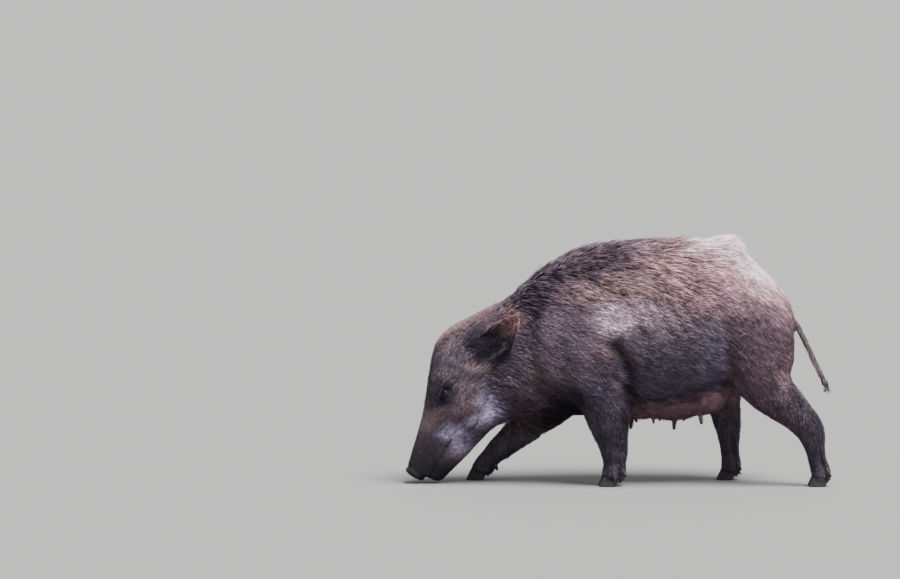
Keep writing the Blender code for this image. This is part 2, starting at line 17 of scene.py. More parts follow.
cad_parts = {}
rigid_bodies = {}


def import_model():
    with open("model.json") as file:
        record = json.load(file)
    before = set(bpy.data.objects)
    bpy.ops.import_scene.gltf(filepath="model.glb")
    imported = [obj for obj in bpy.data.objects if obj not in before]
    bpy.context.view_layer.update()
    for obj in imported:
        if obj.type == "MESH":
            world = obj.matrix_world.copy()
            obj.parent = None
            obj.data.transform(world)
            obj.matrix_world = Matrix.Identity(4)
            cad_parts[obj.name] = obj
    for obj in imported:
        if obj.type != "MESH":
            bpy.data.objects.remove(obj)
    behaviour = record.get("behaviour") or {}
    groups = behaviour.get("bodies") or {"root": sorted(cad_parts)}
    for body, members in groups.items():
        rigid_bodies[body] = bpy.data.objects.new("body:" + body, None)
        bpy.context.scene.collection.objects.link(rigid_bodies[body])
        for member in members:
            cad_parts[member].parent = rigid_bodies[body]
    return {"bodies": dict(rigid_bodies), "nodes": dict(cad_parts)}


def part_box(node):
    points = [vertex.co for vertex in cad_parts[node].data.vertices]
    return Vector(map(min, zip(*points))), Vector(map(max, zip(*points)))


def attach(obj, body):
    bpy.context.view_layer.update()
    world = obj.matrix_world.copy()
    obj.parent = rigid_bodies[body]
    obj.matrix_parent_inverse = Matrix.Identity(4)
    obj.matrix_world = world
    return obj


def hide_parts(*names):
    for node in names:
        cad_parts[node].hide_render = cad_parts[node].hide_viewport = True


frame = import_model()
KEPT = {*frame["nodes"].values(), *frame["bodies"].values()}
for start_up in set(bpy.data.objects) - KEPT:  # the cube, light and camera that a new scene holds
    bpy.data.objects.remove(start_up)
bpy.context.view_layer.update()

# ---- Named values ----

SIDES = {"left": 1, "right": -1}
CLAWS = [n for n in frame["nodes"] if "claw" in n]
EYES = {side: f"eye_{side}" for side in SIDES}
FLESH = [n for n in frame["nodes"] if n not in CLAWS and n not in EYES.values()]

PUSH = 0.0006  # how far the flesh solids are pushed out, so that they meet over the thin cuts
VOXEL = 0.003
SKIN_TRIANGLES = 180_000
SEED = 11

TONES = {  # colours as seen, in shares of 255
    "mane": (52, 43, 60),
    "fringe": (136, 111, 110),
    "tawny": (178, 147, 142),
    "brown": (116, 97, 100),
    "back": (190, 153, 150),
    # painted highlight of the light from above
    "sheen": (252, 224, 228),
    # pale hair, pushed past white for the painted rim light from above and behind
    "rump": (312, 268, 264),
    "rump_side": (222, 178, 180),
    "rose": (182, 148, 153),
    "flank": (86, 79, 96),
    "loin": (113, 105, 124),
    "belly": (92, 85, 103),
    "thigh": (114, 92, 101),
    "shoulder": (116, 102, 119),
    "arm": (96, 87, 105),
    "leg": (91, 85, 96),
    # painted shade under the chest and throat
    "chest": (35, 32, 45),
    "neck": (84, 76, 95),
    "buff": (196, 168, 158),
    "rust": (148, 113, 112),
    "crown": (116, 94, 92),
    "ear": (27, 24, 32),
    "face": (60, 51, 60),
    "grizzle": (200, 190, 204),
    # painted shade in the hollow round the eye
    "socket": (36, 34, 54),
    "cheek": (94, 78, 84),
    "pale": (240, 230, 258),
    "bridge": (124, 104, 106),
    "muzzle": (29, 24, 31),
    "nose": (25, 21, 27),
    "udder": (162, 120, 127),
    "udder_hair": (92, 68, 74),
    "teat": (48, 40, 48),
    "tail": (162, 142, 140),
}
DAYLIGHT = (0.829, 0.818, 0.874)  # each tone times this, for the strong lamps and the cool open air

# For each kind of node: the lie of its hair, how deep the skin lies under the coat, the hair's length and
# width, how far it rises, tufts for each square metre, how many have pale tips, how far the facets are
# smoothed, and the tone.
UP_FACE = (0, 0.46, 0.89)
DOWN_LEG = (0, 0.12, -1)
COAT = {
    "nose": (UP_FACE, 0.0001, 0.003, 0.0008, 0.10, 0, 0.0, 0.03, "nose"),
    "snout": (UP_FACE, 0.0012, 0.008, 0.0009, 0.14, 260e3, 0.10, 0.10, "face"),
    "jaw": ((0, 0.75, 0.65), 0.0014, 0.010, 0.0010, 0.16, 220e3, 0.10, 0.10, "bridge"),
    "head": ((0, 0.66, 0.75), 0.0032, 0.013, 0.0011, 0.20, 260e3, 0.22, 0.18, "face"),
    "ear": ((0, 0.60, 0.78), 0.0015, 0.018, 0.0011, 0.30, 230e3, 0.06, 0.05, "ear"),
    "neck": ((0, 0.86, -0.50), 0.0070, 0.027, 0.0017, 0.19, 82e3, 0.18, 0.60, "neck"),
    "trunk": ((0, 0.93, -0.36), 0.0055, 0.018, 0.0013, 0.15, 106e3, 0.20, 0.60, "brown"),
    "udder": ((0, 0.95, -0.30), 0.0006, 0.014, 0.0010, 0.24, 120e3, 0.10, 0.04, "udder"),
    "foreleg": (DOWN_LEG, 0.0035, 0.016, 0.0013, 0.17, 170e3, 0.08, 0.12, "leg"),
    "hindleg": (DOWN_LEG, 0.0035, 0.016, 0.0013, 0.17, 170e3, 0.10, 0.12, "leg"),
    "forefoot": (DOWN_LEG, 0.0020, 0.011, 0.0011, 0.16, 230e3, 0.10, 0.08, "leg"),
    "hindfoot": (DOWN_LEG, 0.0020, 0.011, 0.0011, 0.16, 230e3, 0.12, 0.08, "leg"),
    "tail": ((0, 0.42, -0.90), 0.0018, 0.018, 0.0012, 0.16, 260e3, 0.25, 0.05, "tail"),
}
GROUPS = {
    "body": ("trunk", "neck"),
    "face": ("head", "snout", "jaw", "nose"),
    "leg": ("foreleg", "hindleg", "forefoot", "hindfoot"),
    "bare": ("udder", "nose"),
    "ear": ("ear",),
}

# Markings on both sides, among them painted shade and painted highlights: tone, strength, group, node,
# place along and up that node's box, half length, half height and slope.
MARKS = [
    ("flank", 0.90, "body", "trunk", 0.57, 0.42, 0.185, 0.110, 0),
    ("tawny", 0.45, "body", "trunk", 0.42, 0.77, 0.220, 0.060, 2),
    ("back", 0.90, "body", "trunk", 0.57, 0.89, 0.110, 0.045, -6),
    ("back", 0.55, "body", "trunk", 0.630, 0.765, 0.066, 0.034, -16),
    ("rose", 0.60, "body", "trunk", 0.70, 0.68, 0.100, 0.034, -10),
    ("brown", 0.55, "body", "trunk", 0.490, 0.690, 0.030, 0.040, -20),
    ("belly", 0.90, "body", "trunk", 0.50, 0.17, 0.180, 0.050, -3),
    ("shoulder", 0.65, "body", "trunk", 0.20, 0.52, 0.100, 0.110, 0),
    ("arm", 0.85, "body", "trunk", 0.33, 0.28, 0.085, 0.105, 0),
    ("shoulder", 0.80, "body", "trunk", 0.395, 0.19, 0.030, 0.066, 0),
    ("shoulder", 0.60, "leg", "trunk", 0.387, 0.17, 0.030, 0.062, 0),
    # painted shade under the chest, behind the forelegs
    ("chest", 1.00, "body", "trunk", 0.21, 0.16, 0.130, 0.066, 0),
    ("rump_side", 0.85, "body", "trunk", 0.86, 0.79, 0.150, 0.080, -42),
    ("thigh", 0.95, "body", "trunk", 0.848, 0.475, 0.086, 0.150, -12),
    ("thigh", 0.70, "body", "trunk", 0.87, 0.20, 0.085, 0.070, -20),
    ("thigh", 0.75, "leg", "trunk", 0.97, 0.12, 0.090, 0.064, -50),
    ("udder", 0.50, "body", "trunk", 0.712, 0.262, 0.032, 0.018, 20),
    ("loin", 0.92, "body", "trunk", 0.706, 0.40, 0.048, 0.130, 0),
    ("loin", 0.60, "body", "trunk", 0.735, 0.32, 0.030, 0.040, -20),
    ("loin", 0.36, "body", "trunk", 0.59, 0.27, 0.100, 0.030, -3),
    # pale rump hair with painted rim light along the top and the rear
    ("rump", 1.10, "body", "trunk", 0.835, 0.94, 0.180, 0.075, -37),
    ("rump", 0.60, "body", "trunk", 0.650, 0.965, 0.066, 0.030, -6),
    ("rump_side", 0.75, "body", "trunk", 0.720, 0.83, 0.060, 0.048, -40),
    ("rump_side", 0.34, "body", "trunk", 0.962, 0.37, 0.016, 0.080, -12),
    # painted shadow on the flank behind the foreleg
    ("belly", 0.75, "body", "trunk", 0.470, 0.27, 0.080, 0.034, -72),
    # painted highlight along the lit edge of the upper arm, in a rust tone
    ("rust", 0.35, "body", "trunk", 0.355, 0.45, 0.034, 0.026, -50),
    # painted highlight of the light from above on the shoulder, fading back over the ribs
    ("sheen", 0.70, "body", "trunk", 0.362, 0.622, 0.064, 0.046, -10),
    ("sheen", 0.32, "body", "trunk", 0.45, 0.67, 0.060, 0.034, -8),
    ("sheen", 0.16, "body", "trunk", 0.53, 0.63, 0.075, 0.055, -20),
    ("mane", 0.60, "body", "trunk", 0.125, 0.75, 0.100, 0.040, 40),
    ("mane", 0.85, "body", "trunk", 0.310, 0.865, 0.085, 0.024, 6),
    # painted shade under the throat
    ("chest", 0.28, "body", "neck", 0.74, 0.05, 0.080, 0.032, -10),
    ("mane", 0.85, "body", "neck", 0.50, 0.75, 0.060, 0.046, 40),
    ("shoulder", 0.40, "body", "neck", 0.30, 0.37, 0.030, 0.040, 0),
    ("buff", 0.22, "body", "neck", 0.45, 0.150, 0.085, 0.012, 28),
    ("buff", 0.62, "body", "neck", 0.08, 0.76, 0.080, 0.022, 33),
    ("rust", 0.75, "body", "neck", 0.28, 0.63, 0.042, 0.036, 40),
    ("crown", 0.70, "face", "head", 0.42, 0.84, 0.060, 0.030, 48),
    ("mane", 0.50, "face", "head", 0.30, 0.70, 0.060, 0.032, 60),
    ("grizzle", 0.03, "face", "head", 0.47, 0.70, 0.036, 0.036, 0),
    ("grizzle", 0.07, "face", "head", 0.86, 0.47, 0.030, 0.026, 20),
    ("cheek", 0.70, "face", "head", 0.66, 0.38, 0.042, 0.048, 0),
    ("buff", 0.26, "face", "head", 0.74, 0.585, 0.040, 0.014, 8),
    ("pale", 0.36, "face", "head", 0.97, 0.29, 0.048, 0.036, -66),
    ("pale", 0.34, "body", "neck", 0.02, 0.154, 0.048, 0.036, -66),
    ("pale", 0.24, "face", "head", 0.78, 0.17, 0.044, 0.030, 30),
    ("pale", 0.55, "face", "head", 0.52, 0.06, 0.060, 0.040, -28),
    ("bridge", 0.80, "face", "head", 0.10, 0.20, 0.026, 0.100, -65),
    ("ear", 0.95, "face", "head", 0.84, 0.75, 0.046, 0.046, 30),
    ("ear", 0.90, "face", "head", 0.90, 0.67, 0.034, 0.026, 20),
    ("ear", 0.85, "body", "neck", -0.03, 0.455, 0.032, 0.024, 20),
    ("muzzle", 1.00, "face", "snout", 0.55, 0.06, 0.110, 0.070, -10),
    ("muzzle", 0.60, "face", "head", 0.33, 0.02, 0.040, 0.018, -30),
    # painted highlight on the fold of the brow above the eye
    ("grizzle", 0.09, "face", "head", 0.27, 0.53, 0.026, 0.014, 10),
    # painted shade in the hollow round the eye
    ("socket", 0.85, "face", "head", 0.34, 0.385, 0.042, 0.030, 40),
]
SPECKLED = {  # the marks that are a mixture of hairs, and how uneven each is
    "tawny": 0.85, "back": 0.60, "sheen": 0.90, "rump": 0.40, "rump_side": 0.60, "rose": 0.80, "buff": 1.50,
    "rust": 0.70, "crown": 0.90, "grizzle": 2.60, "cheek": 1.00, "pale": 0.70,
}

# Places where the hair is longer on both sides: length, rise, group, then the oval as for the marks.
SHAGGY = [
    (0.024, 0.30, "face", "head", 0.97, 0.20, 0.045, 0.036, 30),
    (0.034, 0.26, "body", "neck", 0.30, 0.10, 0.130, 0.050, 0),
    (0.032, 0.24, "body", "trunk", 0.10, 0.12, 0.110, 0.040, 0),
    (0.030, 0.44, "face", "head", 0.84, 0.78, 0.040, 0.040, 20),
    (0.026, 0.30, "body", "neck", 0.28, 0.63, 0.036, 0.032, 40),
    (0.017, 0.34, "face", "head", 0.34, 0.46, 0.020, 0.008, 10),
]


# ---- Small helpers ----


def linear(red, green, blue):
    """A colour as light, from its shares of 255 on a screen."""
    share = np.array([red, green, blue]) / 255
    return np.where(share <= 0.04045, share / 12.92, ((share + 0.055) / 1.055) ** 2.4)


TONE = {name: linear(*np.minimum(np.multiply(shares, DAYLIGHT), 255)) for name, shares in TONES.items()}
TONE_RANGE = (0.002, 0.95)  # the darkest and the lightest that skin and hair may be


def kind_of(node):
    """A node's name without its side: foreleg_left is a foreleg."""
    return node.removesuffix("_left").removesuffix("_right")


def place(node, along, up):
    """The (y, z) at those shares of a node's box."""
    low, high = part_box(node)
    return low.y + along * (high.y - low.y), low.z + up * (high.z - low.z)


def centre(node):
    """The middle of a node's box."""
    low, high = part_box(node)
    return np.array((low + high) / 2)


def unit(vectors):
    """The vectors at length 1."""
    return vectors / np.maximum(np.linalg.norm(vectors, axis=-1, keepdims=True), 1e-9)


def ease(value, start, end):
    """0 at start, 1 at end and smooth between, where end may be the lower one."""
    share = np.clip((value - start) / (end - start), 0, 1)
    return share * share * (3 - 2 * share)


def hump(value, middle, width):
    """1 where the value is the middle one, falling off like a bell."""
    return np.exp(-(((value - middle) / width) ** 2))


NOISE_PRIMES = (73856093, 19349663, 83492791, 2654435761)
NOISE_MIX = 1274126177


def cloud(points, size, seed):
    """Smooth noise from -1 to 1 over points, with bumps about that size, or one size for each axis."""
    grid = points / np.asarray(size)
    cell = np.floor(grid).astype(np.int64)
    inside = grid - cell
    inside = inside * inside * (3 - 2 * inside)
    total = np.zeros(len(points))
    for corner in np.ndindex(2, 2, 2):
        x, y, z = (axis * prime for axis, prime in zip((cell + corner).T, NOISE_PRIMES))
        code = x ^ y ^ z ^ (seed * NOISE_PRIMES[3])
        code = (code ^ (code >> 13)) * NOISE_MIX & 0x7FFFFFFF
        value = (code ^ (code >> 16)) % 65536 / 32767.5 - 1
        weight = np.prod(np.where(corner, inside, 1 - inside), axis=1)
        total += value * weight
    return total


def clouds(points, layers, start):
    """A value for each point: the start, and the noise of each layer on top."""
    return sum((strength * cloud(points, size, seed) for strength, size, seed in layers), start)


OVAL_FADE = (1.50, 0.20)  # an oval mark fades from this to that share of its size


def oval(points, node, along, up, half_length, half_height, slope):
    """1 in the middle of a sloping oval on the side of the body, falling to 0 past its edge."""
    y, z = place(node, along, up)
    turn = math.radians(slope)
    dy, dz = points[:, 1] - y, points[:, 2] - z
    far = np.hypot(
        (dy * math.cos(turn) + dz * math.sin(turn)) / half_length,
        (dz * math.cos(turn) - dy * math.sin(turn)) / half_height,
    )
    return ease(far, *OVAL_FADE)


def read(items, name, wide, kind=np.int32):
    """One property of all of a mesh's items, as an array that many columns wide."""
    flat = np.empty(len(items) * wide, kind)
    items.foreach_get(name, flat)
    return flat.reshape(-1, wide)


def read_points(mesh):
    return read(mesh.vertices, "co", 3, np.float32).astype(float)


def read_normals(mesh):
    return read(mesh.vertex_normals, "vector", 3, np.float32).astype(float)


def read_triangles(mesh):
    mesh.calc_loop_triangles()
    return read(mesh.loop_triangles, "vertices", 3)


def put_points(mesh, points):
    mesh.vertices.foreach_set("co", points.astype(np.float32).ravel())
    mesh.update()


def linked(name, data):
    """A new object that is in the scene."""
    made = bpy.data.objects.new(name, data)
    bpy.context.scene.collection.objects.link(made)
    return made


def mesh_of(name, points, faces):
    """A mesh object of triangles, from arrays."""
    mesh = bpy.data.meshes.new(name)
    mesh.vertices.add(len(points))
    mesh.vertices.foreach_set("co", points.astype(np.float32).ravel())
    mesh.loops.add(faces.size)
    mesh.loops.foreach_set("vertex_index", faces.astype(np.int32).ravel())
    mesh.polygons.add(len(faces))
    mesh.polygons.foreach_set("loop_start", np.arange(0, faces.size, 3, dtype=np.int32))
    mesh.update(calc_edges=True)
    return linked(name, mesh)


def with_modifier(piece, kind, **settings):
    """The piece's mesh is replaced by what that modifier makes of it."""
    modifier = piece.modifiers.new(kind, kind)
    for key, value in settings.items():
        setattr(modifier, key, value)
    graph = bpy.context.evaluated_depsgraph_get()
    made = bpy.data.meshes.new_from_object(piece.evaluated_get(graph))
    piece.modifiers.clear()
    piece.data = made


def put_colours(mesh, colours):
    """Keeps a colour for each point under the name Marking."""
    layer = mesh.color_attributes.new("Marking", "FLOAT_COLOR", "POINT")
    full = np.ones((len(colours), 4), np.float32)
    full[:, :3] = colours
    layer.data.foreach_set("color", full.ravel())


def only_material(mesh, material):
    mesh.materials.clear()
    mesh.materials.append(material)


def put_value(mesh, name, values):
    """Keeps a number for each point under that name."""
    layer = mesh.attributes.new(name, "FLOAT", "POINT")
    layer.data.foreach_set("value", values.astype(np.float32))


class Web:
    """The edges of a mesh, to even out values over its surface."""

    def __init__(self, mesh):
        self.edges = read(mesh.edges, "vertices", 2)
        self.count = len(mesh.vertices)
        self.degree = np.maximum(np.bincount(self.edges.ravel(), minlength=self.count), 1)

    def mean(self, values):
        """Each point's mean of its neighbours' values."""
        first, second = self.edges.T
        total = np.empty_like(values)
        for column in range(values.shape[1]):
            part = values[:, column]
            total[:, column] = np.bincount(first, part[second], self.count)
            total[:, column] += np.bincount(second, part[first], self.count)
        return total / self.degree[:, None]

    def even(self, values, rounds, share=0.5):
        """The values after that many steps towards their neighbours' mean."""
        share = np.broadcast_to(share, (self.count,))[:, None]
        for _ in range(rounds):
            values = values + share * (self.mean(values) - values)
        return values


# ---- Which node a point of skin belongs to, and what that says of its hair ----


class Solids:
    """All flesh solids as one set of triangles, to ask which node is nearest."""

    def __init__(self):
        points, faces, owner, start = [], [], [], 0
        for index, name in enumerate(FLESH):
            mesh = frame["nodes"][name].data
            triangles = read_triangles(mesh)
            points.append(read_points(mesh))
            faces.append(triangles + start)
            owner.append(np.full(len(triangles), index))
            start += len(points[-1])
        self.owner = np.concatenate(owner)
        self.tree = BVHTree.FromPolygons(np.concatenate(points).tolist(), np.concatenate(faces).tolist())

    def owners(self, points):
        """The index in FLESH of the node nearest to each point."""
        find = self.tree.find_nearest
        return self.owner[[find(p)[2] for p in points.tolist()]]


FIELDS = {"lie": 3, "depth": 1, "length": 1, "width": 1, "rise": 1, "density": 1, "pale": 1, "tone": 3}
FIELDS |= {group: 1 for group in GROUPS}  # how many columns each takes
ENDS = np.cumsum(list(FIELDS.values()))
COLUMNS = {name: slice(end - FIELDS[name], end) for name, end in zip(FIELDS, ENDS)}
FIELD_ROUNDS = 45  # how widely the fields pass from one node to the next
BARE_ROUNDS = 4


def hair_row(kind):
    """The fields of one kind of node, in the order of FIELDS."""
    lie, depth, length, width, rise, density, pale, _, tone = COAT[kind]
    groups = [float(kind in kinds) for kinds in GROUPS.values()]
    return [*unit(np.array(lie, float)), depth, length, width, rise, density, pale, *TONE[tone], *groups]


def hair_fields(mesh, web, solids):
    """For each point of the skin a row of FIELDS, passing smoothly from node to node."""
    rows = np.array([hair_row(kind_of(name)) for name in FLESH])
    owner = solids.owners(read_points(mesh))
    values = web.even(rows[owner], FIELD_ROUNDS)
    values[:, COLUMNS["bare"]] = web.even(rows[owner][:, COLUMNS["bare"]], BARE_ROUNDS)
    return values, owner


def one(fields, name):
    """The field of that name, where it has one column."""
    return fields[:, COLUMNS[name]][:, 0]


def share_in(fields, group):
    """How far each point is in a group of nodes: 1 from a little inside its edge."""
    return np.clip(1.3 * one(fields, group), 0, 1)


# ---- The skin ----

CREST_HALF = (0.085, 0.025)
CREST_TURN = (0.15, 0.75)
MANE_DEPTH = 0.022
RAISED_DEPTH = 0.030
RAISED_HALF = 0.056


def crest(points, normals):
    """1 along the middle of the back and neck, 0 on the sides."""
    return ease(np.abs(points[:, 0]), *CREST_HALF) * ease(normals[:, 2], *CREST_TURN)


def mane_share(points, normals):
    """How far a point is in the long hair of the neck and the fore back."""
    start, _ = place("trunk", 0.05, 0)
    middle, _ = place("trunk", 0.50, 0)
    end, _ = place("trunk", 0.72, 0)
    poll, _ = place("neck", 0.30, 0)
    along = ease(points[:, 1], poll - 0.05, start) * ease(points[:, 1], end, middle)
    return along * crest(points, normals)


def raised_share(points, normals):
    """How far a point is in the bristles that stand up on the rump."""
    y, _ = place("trunk", 0.725, 1)
    return hump(points[:, 1], y, RAISED_HALF) * crest(points, normals)


def coat_depth(points, normals, fields):
    """How deep the skin lies under the tips of the coat."""
    depth, body = one(fields, "depth"), one(fields, "body")
    mane = mane_share(points, normals) * body
    raised = raised_share(points, normals) * body
    return depth + mane * (MANE_DEPTH - depth) + raised * (RAISED_DEPTH - depth) * (1 - mane)


def raw_skin():
    """One closed mesh round all the flesh, as fine as the voxels."""
    bm = bmesh.new()
    for name in [*FLESH, *EYES.values()]:
        part = bmesh.new()
        part.from_mesh(frame["nodes"][name].data)
        bmesh.ops.remove_doubles(part, verts=part.verts, dist=1e-6)
        part.normal_update()
        push = PUSH if name in FLESH else 0
        for v in part.verts:
            v.co += v.normal * push
        mesh = bpy.data.meshes.new("part")
        part.to_mesh(mesh)
        part.free()
        bm.from_mesh(mesh)
        bpy.data.meshes.remove(mesh)
    mesh = bpy.data.meshes.new("skin")
    bm.to_mesh(mesh)
    bm.free()
    skin = linked("skin", mesh)
    with_modifier(skin, "REMESH", mode="VOXEL", voxel_size=VOXEL, adaptivity=0.0)
    return skin


SMOOTH_ROUNDS = 90
SHARE_ROUNDS = 8
DEPTH_ROUNDS = 12


def smooth_and_sink(skin, solids):
    """Evens out the facets, then sinks the skin by the coat's depth."""
    mesh = skin.data
    web = Web(mesh)
    fields, owner = hair_fields(mesh, web, solids)
    shares = np.array([COAT[kind_of(name)][7] for name in FLESH])[owner]
    shares = web.even(shares[:, None], SHARE_ROUNDS)[:, 0]
    put_points(mesh, web.even(read_points(mesh), SMOOTH_ROUNDS, shares))
    points, normals = read_points(mesh), read_normals(mesh)
    depth = web.even(coat_depth(points, normals, fields)[:, None], DEPTH_ROUNDS)[:, 0]
    put_points(mesh, points - normals * depth[:, None])


# Creases and swellings on both sides: (node, along, up) points of a line, its height and width, and how far
# its painted shade darkens the crease.
FORMS = [
    ([("trunk", 0.375, 0.50), ("trunk", 0.425, 0.40), ("trunk", 0.440, 0.28), ("trunk", 0.420, 0.12)],
     -0.0125, 0.019, 0.52),
    ([("trunk", 0.377, 0.35), ("trunk", 0.404, 0.30), ("trunk", 0.436, 0.26)], -0.0050, 0.008, 0.45),
    ([("trunk", 0.345, 0.46), ("trunk", 0.385, 0.36), ("trunk", 0.385, 0.26)], 0.0060, 0.020, 0.0),
    ([("trunk", 0.77, 0.60), ("trunk", 0.775, 0.40), ("trunk", 0.83, 0.22)], -0.0080, 0.018, 0.12),
    ([("trunk", 0.88, 0.60), ("trunk", 0.90, 0.34)], 0.0050, 0.040, 0.0),
    ([("trunk", 0.30, 0.82), ("trunk", 0.22, 0.52)], 0.0045, 0.022, 0.0),
    ([("neck", 0.58, 0.60), ("neck", 0.63, 0.44), ("neck", 0.68, 0.31)], -0.0065, 0.022, 0.28),
    ([("trunk", 0.12, 0.26), ("trunk", 0.26, 0.24)], -0.0050, 0.018, 0.25),
    ([("trunk", 0.48, 0.70), ("trunk", 0.53, 0.56)], -0.0026, 0.0065, 0.14),
    ([("trunk", 0.52, 0.71), ("trunk", 0.575, 0.55)], -0.0034, 0.0065, 0.18),
    ([("trunk", 0.56, 0.71), ("trunk", 0.62, 0.56)], -0.0034, 0.0065, 0.18),
    ([("trunk", 0.60, 0.71), ("trunk", 0.66, 0.58)], -0.0026, 0.0065, 0.14),
    ([("trunk", 0.44, 0.66), ("trunk", 0.49, 0.52)], -0.0022, 0.0065, 0.12),
    ([("head", 0.98, 0.42), ("head", 0.76, 0.22), ("head", 0.62, 0.05)], -0.0040, 0.010, 0.20),
    ([("head", 0.40, 0.50), ("head", 0.62, 0.60)], 0.0040, 0.010, 0.0),
    ([("head", 0.36, 0.34), ("head", 0.30, 0.22), ("head", 0.22, 0.08)], -0.0022, 0.008, 0.16),
    ([("head", 0.14, 0.34), ("snout", 0.45, 0.60)], 0.0024, 0.009, 0.0),
]


FORM_TURN = (0.15, 0.7)  # the forms are only where the skin faces the side


def line_distance(points, line):
    """Each point's distance, seen from the side, to a chain of (y, z) points."""
    flat = points[:, 1:]
    best = np.full(len(points), 9.0)
    for start, end in zip(line, line[1:]):
        start, end = np.array(start), np.array(end)
        along = end - start
        share = np.clip((flat - start) @ along / (along @ along), 0, 1)
        best = np.minimum(best, np.linalg.norm(flat - start - share[:, None] * along, axis=1))
    return best


def shape_forms(skin, fields):
    """Presses the creases in and lifts the muscles, on the sides of the body and head."""
    mesh = skin.data
    points, normals = read_points(mesh), read_normals(mesh)
    side = ease(np.abs(normals[:, 0]), *FORM_TURN)
    not_leg = one(fields, "body") + one(fields, "face")
    lift = np.zeros(len(points))
    for line, height, width, _ in FORMS:
        far = line_distance(points, [place(*spot) for spot in line])
        lift += height * hump(far, 0, width)
    put_points(mesh, points + normals * (lift * side * np.clip(not_leg, 0, 1))[:, None])


FINER_EYES = (0.030, 2)  # how far round each eye the skin is finer, and how often it is split
FINER_NOSE = (0.046, 1)
FINER_STEP = 0.18  # how much smaller the place is at each split


def refine(skin, centres, radius, rounds):
    """Splits the faces round some places, so that fine folds can be shaped there."""
    bm = bmesh.new()
    bm.from_mesh(skin.data)
    spots = [Vector(spot) for spot in centres]
    for step in range(rounds):
        reach = radius * (1 - FINER_STEP * step)
        edges = set()
        for spot in spots:
            near = [v for v in bm.verts if (v.co - spot).length < reach]
            edges.update(e for v in near for e in v.link_edges)
        bmesh.ops.subdivide_edges(bm, edges=list(edges), cuts=1, use_grid_fill=True, smooth=0.0)
    bm.to_mesh(skin.data)
    bm.free()
    skin.data.update()


EYE_HALF = 0.0100  # half the length of the opening between the lids
UPPER_LID = 0.0062
LOWER_LID = 0.0048
LID_THICK = 0.0016
LID_LEAST = 0.0009
LID_REACH = 0.024
LID_HUG = 0.0075  # how far from the opening the lids still follow the ball
LID_DEEP = (-0.012, 0.04)  # how far below and over the eye's centre the lids can lie
LID_EDGE = (0.0004, -0.0006)
UNDER_BALL = 0.0020  # how far behind the front of the ball the skin is, where the lids are open
LID_FOLDS = (  # height, distance from the lid's edge, width, and whether on the upper and on the lower lid
    (0.0009, 0.0012, 0.0011, 1, 1),
    (-0.0014, 0.0050, 0.0012, 1, 0),
    (0.0014, 0.0085, 0.0022, 1, 0),
    (-0.0009, 0.0045, 0.0010, 0, 1),
    (-0.0007, 0.0085, 0.0012, 0, 1),
)


def upward(way):
    """A direction, or its opposite where that one points up."""
    return -way if way[2] < 0 else way


def eye_frame(side):
    """An eye's centre, radius and the directions along the lids, up and out."""
    low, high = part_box(EYES[side])
    middle = centre(EYES[side])
    radius = (high.z - low.z) / 2
    out = unit(np.array([SIDES[side] * 0.90, -0.36, 0.22]))
    nose_way = centre("nose") - middle
    along = nose_way - out * (nose_way @ out)
    along = unit(along + np.array([0, -0.35, 0]) * np.linalg.norm(along))
    along = unit(along - out * (along @ out))
    return middle, radius, along, upward(np.cross(out, along)), out


def shape_lids(skin):
    """Draws the skin over each eyeball and opens it between two lids with folds."""
    mesh = skin.data
    points = read_points(mesh)
    for side in SIDES:
        middle, radius, along, up, out = eye_frame(side)
        offset = points - middle
        a, b, c = offset @ along, offset @ up, offset @ out
        near = np.flatnonzero((np.hypot(a, b) < LID_REACH) & (c > LID_DEEP[0]) & (c < LID_DEEP[1]))
        a, b, c = a[near], b[near], c[near]
        arch = 1 - (a / EYE_HALF) ** 2
        gap = np.where(
            np.abs(a) < EYE_HALF,
            np.maximum(b - UPPER_LID * arch, -LOWER_LID * arch - b),
            np.hypot(np.abs(a) - EYE_HALF, b),
        )
        ball = np.sqrt(np.maximum(radius**2 - a**2 - b**2, 0.0))
        lid = ball + LID_THICK
        closeness = hump(np.maximum(gap, 0), 0, LID_HUG) * ease(np.hypot(a, b), LID_REACH, EYE_HALF)
        skin_height = c + (np.maximum(lid, c * 0.5) - c) * closeness
        for fold, away, width, upper, lower in LID_FOLDS:
            skin_height += fold * hump(gap, away, width) * np.where(b > 0, upper, lower)
        covered = (np.hypot(a, b) < 0.97 * radius) & (gap > 0)
        skin_height = np.where(covered, np.maximum(skin_height, ball + LID_LEAST), skin_height)
        height = skin_height + (ball - UNDER_BALL - skin_height) * ease(gap, *LID_EDGE)
        points[near] += (height - c)[:, None] * out
    put_points(mesh, points)


def nose_frame():
    """The nose disc's centre, its half thickness, and the directions across, up and forward."""
    points = read_points(frame["nodes"]["nose"].data)
    middle = centre("nose")
    _, axes = np.linalg.eigh(np.cov((points - middle).T))
    forward = axes[:, 0]
    if forward[1] > 0:
        forward = -forward
    across = np.array([1.0, 0, 0])
    up = upward(np.cross(forward, across))
    half = np.abs((points - middle) @ forward).max()
    return middle, half, across, unit(up), forward


NOSTRIL_ACROSS = 0.0165
NOSTRIL_UP = 0.0035
NOSTRIL_HALF = (0.0075, 0.0095)
NOSTRIL_DEEP = 0.011
NOSTRIL_RIM = 0.0012
NOSTRIL_LEAN = 0.25
MOUTH_DEEP = 0.0062


def shape_nostrils(skin):
    """Sinks two oval nostrils with raised rims into the front of the nose disc."""
    mesh = skin.data
    points = read_points(mesh)
    middle, half, across, up, forward = nose_frame()
    for sign in SIDES.values():
        offset = points - middle
        a = offset @ across - sign * NOSTRIL_ACROSS
        b = offset @ up - NOSTRIL_UP
        c = offset @ forward
        lean = a + sign * NOSTRIL_LEAN * b
        far = np.hypot(lean / NOSTRIL_HALF[0], b / NOSTRIL_HALF[1])
        front = ease(c, 0, half * 0.6)
        sink = NOSTRIL_DEEP * ease(far, 1.05, 0.55) - NOSTRIL_RIM * hump(far, 1.35, 0.25)
        points -= (sink * front)[:, None] * forward
    put_points(mesh, points)


